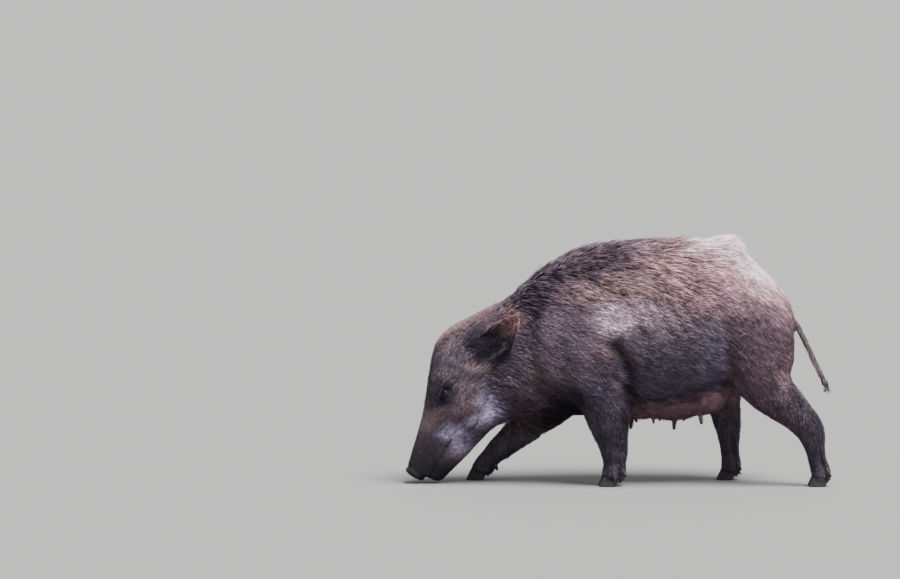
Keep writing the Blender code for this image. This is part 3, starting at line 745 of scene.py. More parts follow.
def mouth_line(points, web, owner):
    """1 along the line of the mouth, where the jaw meets the snout, and 0 away from it."""
    jaw, snout, head = (
        web.even((owner == FLESH.index(name)).astype(float)[:, None], rounds)[:, 0]
        for name, rounds in (("jaw", 6), ("snout", 14), ("head", 14))
    )
    line = hump(jaw, 0.5, 0.26) * np.clip(snout * 2.4, 0, 1) * (1 - ease(head, 0.40, 0.70))
    return line * ease(np.abs(points[:, 0]), 0.008, 0.020)


def shape_mouth(skin, solids):
    """Presses in the line of the mouth."""
    mesh = skin.data
    points, normals = read_points(mesh), read_normals(mesh)
    line = mouth_line(points, Web(mesh), solids.owners(points))
    put_points(mesh, points - normals * (MOUTH_DEEP * line)[:, None])


def thin_out(skin, plain):
    """Fewer triangles on the plain parts of the trunk, neck and legs."""
    group = skin.vertex_groups.new(name="plain")
    group.add(np.flatnonzero(plain).tolist(), 1.0, "REPLACE")
    now = len(read_triangles(skin.data))
    if now > SKIN_TRIANGLES:
        with_modifier(
            skin, "DECIMATE", ratio=SKIN_TRIANGLES / now, vertex_group="plain", vertex_group_factor=4.0
        )
    skin.vertex_groups.clear()


def make_skin(solids):
    """The whole skin, from the flesh solids to lids, nostrils and mouth."""
    skin = raw_skin()
    smooth_and_sink(skin, solids)
    web = Web(skin.data)
    fields, owner = hair_fields(skin.data, web, solids)
    shape_forms(skin, fields)
    thin_out(skin, [kind_of(FLESH[i]) in ("trunk", "neck", "foreleg", "hindleg") for i in owner])
    refine(skin, [centre(name) for name in EYES.values()], *FINER_EYES)
    refine(skin, [centre("nose")], *FINER_NOSE)
    shape_lids(skin)
    shape_nostrils(skin)
    shape_mouth(skin, solids)
    return skin


def unwrap(skin):
    """Lays the skin's own surface out flat as the UV map OFBake."""
    mesh = skin.data
    mesh.uv_layers.new(name="OFBake")
    bpy.ops.object.select_all(action="DESELECT")
    skin.select_set(True)
    bpy.context.view_layer.objects.active = skin
    bpy.ops.object.mode_set(mode="EDIT")
    bpy.ops.mesh.select_all(action="SELECT")
    bpy.ops.uv.smart_project(angle_limit=math.radians(75), island_margin=0.002, area_weight=0.0)
    bpy.ops.object.mode_set(mode="OBJECT")


# ---- Markings with painted shade and painted highlights, the same on the skin and on the coat ----


def shaggy_share(points):
    """How far up the body a point is in the rough hair of the upper side, which ends at the smooth rump."""
    _, low = place("trunk", 0, 0.60)
    _, high = place("trunk", 0, 0.84)
    rump, _ = place("trunk", 0.82, 0)
    loin, _ = place("trunk", 0.66, 0)
    return ease(points[:, 2], low, high) * ease(points[:, 1], rump, loin)


LOCK_SLOPE = math.radians(-24)  # how the locks of the body lie, seen from her left
LOCK_COS, LOCK_SIN = math.cos(LOCK_SLOPE), math.sin(LOCK_SLOPE)
LOCK_TURN = np.array([[1, 0, 0], [0, LOCK_COS, -LOCK_SIN], [0, LOCK_SIN, LOCK_COS]])
TAIL_HALF = 0.03  # how far to each side the tail may lie


def on_tail(points, margin, top):
    """True for points on the tail: behind the front of its box by that margin, and below that height."""
    low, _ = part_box("tail")
    return (points[:, 1] > low.y + margin) & (points[:, 2] < top) & (np.abs(points[:, 0]) < TAIL_HALF)


EAR_OPEN = (0.62, 0.78)  # how far out and how far forward the hollow of an ear faces


def ear_inside(normals):
    """Above 0 on the hollow side of the ears, which faces forward and out, and below 0 on the back."""
    return EAR_OPEN[0] * np.abs(normals[:, 0]) - EAR_OPEN[1] * normals[:, 1]


def blend_to(colour, tone, share):
    """The colours moved that share of the way to a tone, in place."""
    colour += np.clip(share, 0, 1)[:, None] * (TONE[tone] - colour)


SPECKS = ((0.45, 0.0055, 41),)
SPECK_CHANCE = 0.9


def speck_of(points, chance):
    """0 to 1 for each hair: partly chance, partly in patches a few hairs wide that the skin has too."""
    return np.clip(clouds(points, SPECKS, 0.5) + SPECK_CHANCE * (chance - 0.5), 0, 1)


SHADE_TURN = (0.10, 0.55)
SHADE_WIDE = 1.1


def fold_shade(points, normals):
    """Painted shade in the folds: how dark each point is, seen from the side."""
    light = np.ones(len(points))
    side = ease(np.abs(normals[:, 0]), *SHADE_TURN)
    for line, _, width, shade in FORMS:
        if shade:
            far = line_distance(points, [place(*spot) for spot in line])
            light *= 1 - shade * side * hump(far, 0, SHADE_WIDE * width)
    return light


EAR_LEAN = 0.25  # how the line between an ear's base and its rust tip slopes
EAR_UPPER = (0.070, 0.125)  # heights over the ear's lowest point
EAR_OUTER = (0.020, 0.060)
EAR_BACK = (0.25, -0.35)
EAR_RUST = (0.66, 0.35)  # how strong on the tip and on the outside
EAR_SWING = 0.8


def mark_ears(colour, points, normals, fields, swing):
    """Rust tips and outsides of the ears."""
    low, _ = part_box("ear_left")
    height = points[:, 2] + EAR_LEAN * (points[:, 1] - low.y)
    upper = ease(height, *(low.z + up for up in EAR_UPPER))
    outer = ease(ear_inside(normals), *EAR_BACK) * ease(points[:, 2], *(low.z + up for up in EAR_OUTER))
    rust = EAR_RUST[0] * upper + EAR_RUST[1] * outer
    blend_to(colour, "rust", rust * share_in(fields, "ear") * (1 + EAR_SWING * swing))


UDDER_MARGIN = 0.05
UDDER_FRONT = (0.31, 0.20)  # distances behind the front of the udder's box
UDDER_HAIR = (0.46, 0.40)  # how strong everywhere, and how much more at the front
UDDER_PATCHES = (0.5, 0.012, 9)
TEAT_TOP = (0.034, 0.022)  # heights over the lowest point of the udder


def mark_udder(colour, points, fields):
    """The bare udder with its teats, more hairy at the front."""
    low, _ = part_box("udder")
    udder = one(fields, "bare") * (points[:, 1] > low.y - UDDER_MARGIN)
    front = ease(points[:, 1], *(low.y + behind for behind in UDDER_FRONT))
    blend_to(colour, "udder", udder)
    hair = clouds(points, [UDDER_PATCHES], UDDER_HAIR[0] + UDDER_HAIR[1] * front)
    blend_to(colour, "udder_hair", hair * udder)
    teats = ease(points[:, 2], *(low.z + up for up in TEAT_TOP))
    blend_to(colour, "teat", udder * teats)


TASSEL_FADE = (0.055, 0.025)  # heights over the end of the tail
TASSEL_SHARE = 0.75


def mark_tail(colour, points):
    """The dark tassel."""
    low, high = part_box("tail")
    tassel = ease(points[:, 2], *(low.z + up for up in TASSEL_FADE))
    blend_to(colour, "leg", TASSEL_SHARE * on_tail(points, -0.01, high.z) * tassel)


LOCKS = ((0.75, (0.009, 0.026, 0.0055), 7), (0.50, (0.018, 0.060, 0.013), 8))  # strength, size and seed
LOCK_LIGHT = (0.58, 0.42)  # how strong the locks show everywhere, and how much more in the shaggy hair
LEG_STREAKS = (0.36, (0.006, 0.006, 0.030), 10)
BLOTCHES = ((0.10, 0.030, 5), (0.13, 0.010, 6))


def streaks(points, body, leg):
    """How light the locks of the body and the hair down the legs are."""
    lock = clouds(points @ LOCK_TURN, LOCKS, 0)
    strength, size, seed = LEG_STREAKS
    down = cloud(points, size, seed)
    return 1 + (LOCK_LIGHT[0] + LOCK_LIGHT[1] * shaggy_share(points)) * lock * body + strength * down * leg


RAGGED = 0.014  # how far the edges of the marks wander
RAGGED_SIZE = 0.030
MANE_DARK = (0.50, 0.6)  # how strong, and how much less in the light hairs
RAISED_LIGHT = (0.5, 1.2)
CROWN_SHARE = 0.7
# painted shade on the body where it faces down
UNDER_SHADE_SHARE = 0.65
UNDER_SHADE_TURN = (-0.35, -0.85)
HAIR_SWING = {"face": 0.36, "body": 0.30, "leg": 0.20}  # how uneven the hairs are in lightness


def markings(points, normals, fields, speck):
    """The colour of each point: its node's tone, the marks over it, then painted shade in the folds,
    blotches and streaks.

    speck, from 0 to 1, says how strongly each point takes the marks that are a mixture of hairs.
    """
    colour = fields[:, COLUMNS["tone"]].copy()
    share_of = {group: share_in(fields, group) for group in GROUPS}
    body, leg = share_of["body"], share_of["leg"]
    ragged = points + RAGGED * np.stack([cloud(points, RAGGED_SIZE, s) for s in (1, 2, 3)], axis=1)
    swing = 2 * speck - 1
    for tone, strength, group, *where in MARKS:
        share = strength * share_of[group] * oval(ragged, *where)
        blend_to(colour, tone, share * (1 + SPECKLED.get(tone, 0) * swing))
    blend_to(colour, "mane", MANE_DARK[0] * mane_share(ragged, normals) * body * (1 - MANE_DARK[1] * swing))
    # raised bristles on the rump: pale hair with painted back light
    raised = raised_share(ragged, normals) * body
    blend_to(colour, "rump_side", raised)
    blend_to(colour, "rump", raised * (RAISED_LIGHT[0] + RAISED_LIGHT[1] * swing))
    _, brow = place("head", 0, 0.60)
    _, poll = place("head", 0, 0.85)
    top = crest(ragged, normals) * ease(ragged[:, 2], brow, poll)
    blend_to(colour, "crown", CROWN_SHARE * top * share_of["face"])
    # painted shade where the body faces down
    blend_to(colour, "chest", UNDER_SHADE_SHARE * ease(normals[:, 2], *UNDER_SHADE_TURN) * body)
    colour *= (1 + swing * sum(share * share_of[group] for group, share in HAIR_SWING.items()))[:, None]
    mark_udder(colour, points, fields)
    mark_ears(colour, points, normals, fields, swing)
    mark_tail(colour, points)
    # blotches and streaks are the hair's own; fold_shade adds painted shade in the creases
    light = clouds(points, BLOTCHES, 1) * streaks(points, body, leg) * fold_shade(points, normals)
    return np.clip(colour * light[:, None], *TONE_RANGE)


# ---- The coat ----


class Surface:
    """The finished skin as arrays, with a tree to find the nearest point on it."""

    def __init__(self, skin, fields):
        mesh = skin.data
        self.points = read_points(mesh)
        self.normals = read_normals(mesh)
        self.faces = read_triangles(mesh)
        self.fields = fields
        corners = self.points[self.faces]
        cross = np.cross(corners[:, 1] - corners[:, 0], corners[:, 2] - corners[:, 0])
        self.areas = np.linalg.norm(cross, axis=1) / 2
        self.face_normals = unit(self.normals[self.faces].mean(axis=1))
        self.face_fields = fields[self.faces].mean(axis=1)
        uvs = read(mesh.uv_layers["OFBake"].uv, "vector", 2, np.float32)
        self.uvs = uvs[read(mesh.loop_triangles, "loops", 3)]
        self.tree = BVHTree.FromPolygons(self.points.tolist(), self.faces.tolist())

    def nearest(self, points):
        """The skin's nearest points, and the faces they are on."""
        find = self.tree.find_nearest
        found = [find(p) for p in points.tolist()]
        return np.array([f[0][:] for f in found]), np.array([f[2] for f in found])


def along_skin(lie, normals):
    """The lie of the hair, laid flat on the skin."""
    return unit(lie - normals * np.sum(lie * normals, axis=1, keepdims=True))


RUMP_DROP = 0.75  # how much steeper the hair lies down the rump
CREST_LIFT = 0.35
WHORL = 0.22
WHORL_SIZE = 0.045


def hair_lie(points, normals, fields):
    """The direction of the hair at each point, with its turns and whorls."""
    lie = fields[:, COLUMNS["lie"]].copy()
    body = one(fields, "body")
    rump, _ = place("trunk", 0.86, 0)
    lie[:, 2] -= RUMP_DROP * (ease(points[:, 1], rump - 0.10, rump + 0.06) * body)
    lie[:, 2] += CREST_LIFT * (crest(points, normals) * body)
    lie += WHORL * np.stack([cloud(points, WHORL_SIZE, s) for s in (21, 22, 23)], axis=1)
    return along_skin(lie, normals)


def scatter(surface, rng):
    """Places for the roots, even over the skin: positions, normals, fields, UVs and faces."""
    wanted = np.cumsum(surface.areas * one(surface.face_fields, "density"))
    picks = np.arange(int(wanted[-1])) + rng.random(int(wanted[-1]))
    face = np.minimum(np.searchsorted(wanted, picks), len(wanted) - 1)
    first, second = rng.random((2, len(face)))
    flip = first + second > 1
    first, second = np.where(flip, 1 - first, first), np.where(flip, 1 - second, second)
    shares = np.stack([1 - first - second, first, second], axis=1)[:, :, None]
    corners = surface.faces[face]
    points = (surface.points[corners] * shares).sum(axis=1)
    normals = unit((surface.normals[corners] * shares).sum(axis=1))
    fields = (surface.fields[corners] * shares).sum(axis=1)
    uvs = (surface.uvs[face] * shares).sum(axis=1)
    return points, normals, fields, uvs, face


BARE_LIDS = (1.35, 1.3)  # how far past the opening the lids are bare, along and up
EYE_NEAR = 0.03


def clear_of_eyes(points):
    """True for roots that keep their hair: none in the eyes' openings or on the edges of the lids."""
    keep = np.ones(len(points), bool)
    for side in SIDES:
        middle, _, along, up, _ = eye_frame(side)
        offset = points - middle
        on_lids = np.abs(offset @ along) < BARE_LIDS[0] * EYE_HALF
        on_lids &= np.abs(offset @ up) < BARE_LIDS[1] * UPPER_LID
        on_lids &= np.linalg.norm(offset, axis=1) < EYE_NEAR
        keep &= ~on_lids
    return keep


CORONET_SLOPE = 0.26  # how the tops of the claws slant
CORONET_START = 0.012  # how far behind the tip of a claw its top is as high as its box
UNDER_CLAW = (0.040, 0.065)  # how far to the side and along a point may be from a claw's middle
DEWCLAW_UP = 0.01  # the claws whose box starts above this height are dewclaws
NO_CLAW = 9.0


def above_coronet(points):
    """How high each point is over the slanting tops of the claws under it, or 9 where there are none."""
    height = np.full(len(points), NO_CLAW)
    for name in CLAWS:
        low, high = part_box(name)
        if low.z > DEWCLAW_UP:
            continue
        under = np.abs(points[:, 0] - (low.x + high.x) / 2) < UNDER_CLAW[0]
        under &= np.abs(points[:, 1] - (low.y + high.y) / 2) < UNDER_CLAW[1]
        over = points[:, 2] - high.z + CORONET_SLOPE * (points[:, 1] - low.y - CORONET_START)
        height = np.where(under, np.minimum(height, over), height)
    return height


BENDS = ((0.0, 0.0185, 1), (0.0185, 0.038, 2), (0.038, 1.0, 3))  # lengths from and to, and how many bends
TASSEL_TALL = 0.036
TASSEL_HAIR = (0.040, 0.10)  # length and rise
TAIL_RISE = 0.24
POLL_HAIR = (0.024, 0.36)
BEHIND_LEG_HAIR = (0.024, 0.36)
CORONET_HAIR = (0.019, 0.13)
MANE_HAIR = (0.056, 0.27)
RAISED_HAIR = (0.050, 0.85)
SHAGGY_MORE = (0.019, 0.06, 0.0006)  # how much longer, steeper and wider the shaggy hair is
MANE_WIDER = 0.0004
CLUMPING = (0.18, 0.34, 0.04, 0.45)  # of all hair, and more of shaggy, mane and raised hair
LENGTH_SPREAD = (0.72, 0.56)  # the least share of its length that a tuft has, and how much is left to chance
LENGTH_PATCHES = ((0.22, 0.028, 31),)
RISE_SPREAD = (0.45, 1.1)
WIDTH_SPREAD = (0.75, 0.5)
LEAST_RISE = 0.03
MOST_RISE = 0.95
COAT_TOP = (1.35, 0.004)  # the tips stay under this share of the coat's depth, and that much more


def by_chance(rng, count, spread):
    """For each tuft a share that is the least one, and some more by chance."""
    return spread[0] + spread[1] * rng.random(count)


def tassel_spots(points):
    """True near the end of the tail."""
    low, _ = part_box("tail")
    return on_tail(points, 0, low.z + TASSEL_TALL)


def tuft_shape(points, normals, fields, rng):
    """Length, width, rise and clumping of each tuft, with the long hair of the mane, rump, ears and tail."""
    count = len(points)
    length, width, rise = (one(fields, name).copy() for name in ("length", "width", "rise"))
    body, leg = one(fields, "body"), one(fields, "leg")
    mane = mane_share(points, normals) * body
    raised = raised_share(points, normals) * body
    shaggy = shaggy_share(points) * body
    length += SHAGGY_MORE[0] * shaggy
    rise += SHAGGY_MORE[1] * shaggy
    width += SHAGGY_MORE[2] * shaggy + MANE_WIDER * mane
    longer_places = [
        (oval(points, *where) * share_in(fields, group), (longer, higher))
        for longer, higher, group, *where in SHAGGY
    ]
    longer_places += [
        (crest(points, normals) * share_in(fields, "face"), POLL_HAIR),
        (leg * ease(normals[:, 1], 0.45, 0.85), BEHIND_LEG_HAIR),
        (leg * ease(above_coronet(points), 0.016, 0.004), CORONET_HAIR),
        (mane, MANE_HAIR),
        (raised, RAISED_HAIR),
    ]
    for share, (longer, higher) in longer_places:
        length += share * (longer - length)
        rise += share * (higher - rise)
    _, tail_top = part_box("tail")
    tassel = tassel_spots(points)
    rise = np.where(on_tail(points, 0.02, tail_top.z), TAIL_RISE, rise)
    length, rise = (np.where(tassel, new, old) for new, old in zip(TASSEL_HAIR, (length, rise)))
    clump = CLUMPING[0] + CLUMPING[1] * shaggy + CLUMPING[2] * mane + CLUMPING[3] * raised
    length *= by_chance(rng, count, LENGTH_SPREAD)
    length *= clouds(points, LENGTH_PATCHES, 1)
    rise *= by_chance(rng, count, RISE_SPREAD)
    width *= by_chance(rng, count, WIDTH_SPREAD)
    highest = (COAT_TOP[0] * coat_depth(points, normals, fields) + COAT_TOP[1]) / length
    return length, width, np.clip(rise, LEAST_RISE, np.minimum(highest, MOST_RISE)), clump


SUNK = (0.06, 0.0003, 0.0014)  # how deep a root is, as a share of the length, and the least and most
OVER_SKIN = 0.0003


def grow(surface, points, normals, fields, length, rise, loose, levels):
    """The middle line of each tuft, followed over the skin: positions, sides and normals at each level.

    The loose ones go straight on where the skin bends away, as past the rim of an ear.
    """
    at, normal = points, normals
    lie = hair_lie(at, normal, fields)
    sunk = np.clip(SUNK[0] * length, *SUNK[1:])
    lines, sides, ups = [at - normal * sunk[:, None]], [np.cross(lie, normal)], [normal]
    flat = np.sqrt(1 - rise**2)
    for level in range(1, levels + 1):
        ahead = at + lie * (length * flat / levels)[:, None]
        on_skin, face = surface.nearest(ahead)
        at = np.where(loose[:, None], ahead, on_skin)
        normal = surface.face_normals[face]
        turned = hair_lie(at, normal, surface.face_fields[face])
        lie = unit(along_skin(lie, normal) + along_skin(turned, normal))
        share = level / levels
        height = length * rise * (1.5 * share - 0.5 * share * share)
        lines.append(at + normal * (height + OVER_SKIN)[:, None])
        sides.append(np.cross(lie, normal))
        ups.append(normal)
    return np.stack(lines, axis=1), np.stack(sides, axis=1), np.stack(ups, axis=1)


def gather(lines, length, clump, every):
    """Draws the tips of neighbouring tufts together into locks."""
    leaders = np.arange(0, len(lines), every)
    tree = KDTree(len(leaders))
    for slot, leader in enumerate(leaders):
        tree.insert(lines[leader, 0], slot)
    tree.balance()
    find = tree.find
    own = leaders[[find(p)[1] for p in lines[:, 0].tolist()]]
    shift = lines[own] - lines
    apart = lines[own, 0] - lines[:, 0]
    close = clump * ease(np.linalg.norm(apart, axis=1), length * 1.3, length * 0.3)
    levels = lines.shape[1]
    for level in range(1, levels):
        pull = (close * (level / (levels - 1)) ** 1.5)[:, None]
        lines[:, level] += pull * (shift[:, level] - apart * 0.25)
    return lines


SECTION = [(-0.5, 0.0), (0.5, 0.0), (0.0, 0.42)]  # a flat three-sided tuft, in shares of its width
PATCH = 0.0030  # how wide each tuft's place is on the unwrapped skin


def girth(share, rings):
    """How thick a tuft is at that share of its length: thickest in the middle, where it has bends."""
    if rings == 1:
        return 1.0
    return 0.75 + 0.5 * share if share < 0.5 else 1.35 - 0.7 * share


def tuft_faces(count, rings):
    """The triangles of that many closed tapering tufts."""
    per = 3 * rings + 1
    faces = [(0, 1, 2)]
    for base in range(0, 3 * (rings - 1), 3):
        for k in range(3):
            a, b = base + k, base + (k + 1) % 3
            faces += [(a, b + 3, b), (a, a + 3, b + 3)]
    base = 3 * (rings - 1)
    faces += [(base + k, per - 1, base + (k + 1) % 3) for k in range(3)]
    return (np.arange(count)[:, None, None] * per + np.array(faces)).reshape(-1, 3)


def tuft_mesh(lines, sides, ups, width, root_colour, mid_colour, tip_colour, uvs):
    """Points, triangles, colours and UVs of closed tapering tufts that follow those lines."""
    rings = lines.shape[1] - 1
    points, colours, spots = [], [], []
    for level in range(rings):
        share = level / rings
        wide = width * girth(share, rings)
        tone = root_colour + (mid_colour - root_colour) * min(1.0, share * 2)
        for across, over in SECTION:
            corner = lines[:, level] + sides[:, level] * (wide * across)[:, None]
            points.append(corner + ups[:, level] * (wide * over)[:, None])
            colours.append(tone)
            spots.append(uvs + PATCH * np.array([across, share - 0.5]))
    points.append(lines[:, rings])
    colours.append(tip_colour)
    spots.append(uvs + PATCH * np.array([0, 0.5]))
    rows = (np.stack(part, axis=1) for part in (points, colours, spots))
    points, colours, spots = (part.reshape(-1, part.shape[2]) for part in rows)
    return points, tuft_faces(len(lines), rings), colours, spots


def coat_piece(name, parts, material):
    """One piece of the coat, joined from the points, triangles, colours and UVs of its parts."""
    points, faces, colours, spots = zip(*parts)
    starts = np.cumsum([0, *(len(part) for part in points[:-1])])
    faces = np.concatenate([part + start for part, start in zip(faces, starts)])
    piece = mesh_of(name, np.concatenate(points), faces)
    mesh = piece.data
    put_colours(mesh, np.clip(np.concatenate(colours), *TONE_RANGE))
    layer = mesh.uv_layers.new(name="OFBake")
    corners = read(mesh.loops, "vertex_index", 1)[:, 0]
    layer.uv.foreach_set("vector", np.concatenate(spots)[corners].astype(np.float32).ravel())
    mesh.shade_smooth()
    mesh.materials.append(material)
    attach(piece, "root")


WHOLE_PIECES = {  # the coat piece of each kind of node
    "ear": "ears", "foreleg": "forelegs", "forefoot": "forelegs", "hindleg": "hindlegs",
    "hindfoot": "hindlegs", "tail": "tail", "udder": "udder",
}
PAIRED_PIECES = {"head": "face", "snout": "face", "jaw": "face", "nose": "face", "neck": "neck"}
TRUNK_PIECES = (("shoulder", -1, 0.36), ("flank", 0.36, 0.68), ("rump", 0.68, 2))  # from and to along it


def region_names(points, owner):
    """The coat piece that each tuft goes to."""
    kinds = np.array([kind_of(name) for name in FLESH])[owner]
    low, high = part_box("trunk")
    share = (points[:, 1] - low.y) / (high.y - low.y)
    names = np.full(len(points), "", dtype=object)
    for kind, piece in WHOLE_PIECES.items():
        names[kinds == kind] = f"coat_{piece}"
    for side, sign in SIDES.items():
        here = (points[:, 0] > 0) == (sign > 0)
        for kind, piece in PAIRED_PIECES.items():
            names[here & (kinds == kind)] = f"coat_{piece}_{side}"
        for piece, start, end in TRUNK_PIECES:
            names[here & (kinds == "trunk") & (share >= start) & (share < end)] = f"coat_{piece}_{side}"
    return names


SHADE_SPREAD = (0.32, 0.22)  # how uneven the darkest hairs are, and how much less the lightest ones are
PALE_FROM = (0.010, 0.045)  # no tuft darker than the first has a pale end
PALE_SHARES = (0.16, 0.80)  # of the middle and of the tip
TIP_LIGHT = 1.15
FRINGE_SHARE = 0.55
ROOT_LIGHT = (0.38, 0.45)


def hair_colours(points, normals, fields, rng):
    """The colours of each tuft's root, middle and tip; some tufts have pale ends."""
    count = len(points)
    base = markings(points, normals, fields, speck_of(points, rng.random(count)))
    light = base.mean(axis=1)
    shade = 1 + (SHADE_SPREAD[0] - SHADE_SPREAD[1] * light) * rng.standard_normal(count).clip(-2, 2)
    pale = (rng.random(count) < one(fields, "pale") * ease(light, *PALE_FROM)).astype(float)
    mid = base * shade[:, None]
    mid += (PALE_SHARES[0] * pale)[:, None] * (np.maximum(TONE["tawny"], mid) - mid)
    tip = mid * TIP_LIGHT
    tip += (PALE_SHARES[1] * pale)[:, None] * (np.maximum(TONE["tawny"], mid) - tip)
    fringe = FRINGE_SHARE * (mane_share(points, normals) * one(fields, "body"))[:, None]
    tip += fringe * (np.maximum(TONE["fringe"], mid) - tip)
    root = base * (ROOT_LIGHT[0] + ROOT_LIGHT[1] * light)[:, None]
    return root, mid, tip


LOCK_SIZE = 9
CLEAR_OF_FLOOR = 0.0014
LOOSE_OVER_CLAW = 0.010


def make_coat(surface, owner, material):
    """All coat pieces: roots are scattered, tufts grown along the lie of the hair and joined by region."""
    rng = np.random.default_rng(SEED)
    roots = scatter(surface, rng)
    keep = clear_of_eyes(roots[0])
    points, normals, fields, uvs, face = (v[keep] for v in roots)
    length, width, rise, clump = tuft_shape(points, normals, fields, rng)
    loose = tassel_spots(points) | (one(fields, "ear") > 0.5)
    loose |= (one(fields, "leg") > 0.5) & (above_coronet(points) < LOOSE_OVER_CLAW)
    colours = hair_colours(points, normals, fields, rng)
    regions = region_names(points, owner[surface.faces[face, 0]])
    made = {}
    for shortest, longest, levels in BENDS:
        chosen = np.flatnonzero((length >= shortest) & (length < longest))
        of_chosen = (v[chosen] for v in (points, normals, fields, length, rise, loose))
        lines, sides, ups = grow(surface, *of_chosen, levels)
        if levels > 1:
            lines = gather(lines, length[chosen], clump[chosen], LOCK_SIZE)
        lines[..., 2] = np.maximum(lines[..., 2], CLEAR_OF_FLOOR)
        for region in sorted(set(regions[chosen])):
            part = regions[chosen] == region
            of_part = (v[chosen[part]] for v in (width, *colours, uvs))
            tufts = tuft_mesh(lines[part], sides[part], ups[part], *of_part)
            made.setdefault(region, []).append(tufts)
    for region, parts in made.items():
        coat_piece(region, parts, material)


# ---- Eyes and claws ----

CORNEA = 0.0006  # how far the clear front of the eye bulges


def make_eye(side):
    """A smooth eyeball in place of its faceted solid, a little domed over the iris."""
    middle, radius, _, _, out = eye_frame(side)
    bm = bmesh.new()
    bmesh.ops.create_uvsphere(bm, u_segments=56, v_segments=36, radius=radius)
    bmesh.ops.triangulate(bm, faces=bm.faces)
    mesh = bpy.data.meshes.new(f"eyeball_{side}")
    bm.to_mesh(mesh)
    bm.free()
    ball = linked(f"eyeball_{side}", mesh)
    points = read_points(mesh)
    dome = CORNEA * ease(points @ out / radius, 0.72, 0.95)
    put_points(mesh, points + dome[:, None] * out + middle)
    mesh.shade_smooth()
    mesh.materials.append(eye_material(side))
    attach(ball, "root")
    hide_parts(EYES[side])


HORN_VOXEL = 0.0011
HORN_ROUNDS = 14  # how far the edges of the solids are rounded
RINGS_APART = 0.0034
RING_DEEP = 0.00035
SCUFF_DEEP = 0.0004
SOLE = 0.0009  # the horn below this height is the flat sole
WALL_START = 0.004


def make_claw(name, horn):
    """A claw with rounded edges, growth rings and scuffs, in place of its solid."""
    claw = linked(f"horn_{name}", frame["nodes"][name].data.copy())
    with_modifier(claw, "REMESH", mode="VOXEL", voxel_size=HORN_VOXEL, adaptivity=0.0)
    mesh = claw.data
    put_points(mesh, Web(mesh).even(read_points(mesh), HORN_ROUNDS))
    points, normals = read_points(mesh), read_normals(mesh)
    low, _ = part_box(name)
    level = points[:, 2] + CORONET_SLOPE * points[:, 1] + 0.0010 * cloud(points, 0.012, 61)
    ring = 0.5 + 0.5 * np.sin(math.tau * level / RINGS_APART)
    wall = ease(normals[:, 2], -0.7, -0.2) * ease(points[:, 2], SOLE, WALL_START)
    scuff = SCUFF_DEEP * cloud(points, 0.004, 62)
    points -= normals * ((RING_DEEP * ring + scuff) * wall)[:, None]
    points[:, 2] = np.where(points[:, 2] < low.z + SOLE, low.z, points[:, 2])
    put_points(mesh, points)
    mesh.shade_smooth()
    only_material(mesh, horn)
    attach(claw, "root")
    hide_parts(name)


# ---- Materials ----


class Nodes:
    """Short calls to build a material's node tree."""

    def __init__(self, name):
        self.material = bpy.data.materials.new(name)
        self.material.use_nodes = True
        self.tree = self.material.node_tree
        self.shader = self.tree.nodes["Principled BSDF"]

    def add(self, kind, inputs=(), **settings):
        node = self.tree.nodes.new(kind)
        for key, value in settings.items():
            setattr(node, key, value)
        for key, value in dict(inputs).items():
            if isinstance(value, bpy.types.NodeSocket):
                self.tree.links.new(value, node.inputs[key])
            else:
                node.inputs[key].default_value = value
        return node

    def marking(self):
        """The colour that each point keeps."""
        return self.add("ShaderNodeAttribute", attribute_name="Marking").outputs["Color"]

    def noise(self, scale, detail=3.0, roughness=0.55, vector=None):
        inputs = {"Scale": scale, "Detail": detail, "Roughness": roughness}
        if vector is not None:
            inputs["Vector"] = vector
        return self.add("ShaderNodeTexNoise", inputs).outputs["Fac"]

    def stretched(self, scale):
        """Object coordinates squeezed by that scale on each axis."""
        where = self.add("ShaderNodeTexCoord").outputs["Object"]
        return self.add("ShaderNodeMapping", {"Vector": where, "Scale": scale}).outputs[0]

    def span(self, value, low, high):
        """A 0 to 1 value as low to high."""
        return self.add("ShaderNodeMapRange", {"Value": value, "To Min": low, "To Max": high}).outputs[0]

    def math(self, operation, first, second):
        return self.add("ShaderNodeMath", {0: first, 1: second}, operation=operation).outputs[0]

    def shaded(self, colour, amount):
        """A colour times an amount."""
        node = self.add("ShaderNodeVectorMath", {0: colour, 3: 1.0}, operation="SCALE")
        self.tree.links.new(amount, node.inputs[3])
        return node.outputs[0]

    def bump(self, height, strength, distance, below=None):
        inputs = {"Height": height, "Strength": strength, "Distance": distance}
        if below is not None:
            inputs["Normal"] = below
        return self.add("ShaderNodeBump", inputs).outputs["Normal"]

    def finish(self, **inputs):
        for key, value in inputs.items():
            socket = self.shader.inputs[key.replace("_", " ")]
            if isinstance(value, bpy.types.NodeSocket):
                self.tree.links.new(value, socket)
            else:
                socket.default_value = value
        return self.material


def coat_material():
    """Coarse bristle: the marking's colour, with fine streaks along each tuft."""
    n = Nodes("bristle")
    colour = n.marking()
    fine = n.noise(900, 2.0)
    broad = n.noise(60, 3.0)
    amount = n.math("MULTIPLY", n.span(fine, 0.80, 1.20), n.span(broad, 0.86, 1.14))
    return n.finish(
        Base_Color=n.shaded(colour, amount),
        Roughness=n.span(broad, 0.50, 0.68),
        Specular_IOR_Level=0.16,
        Normal=n.bump(fine, 0.35, 0.0006),
    )


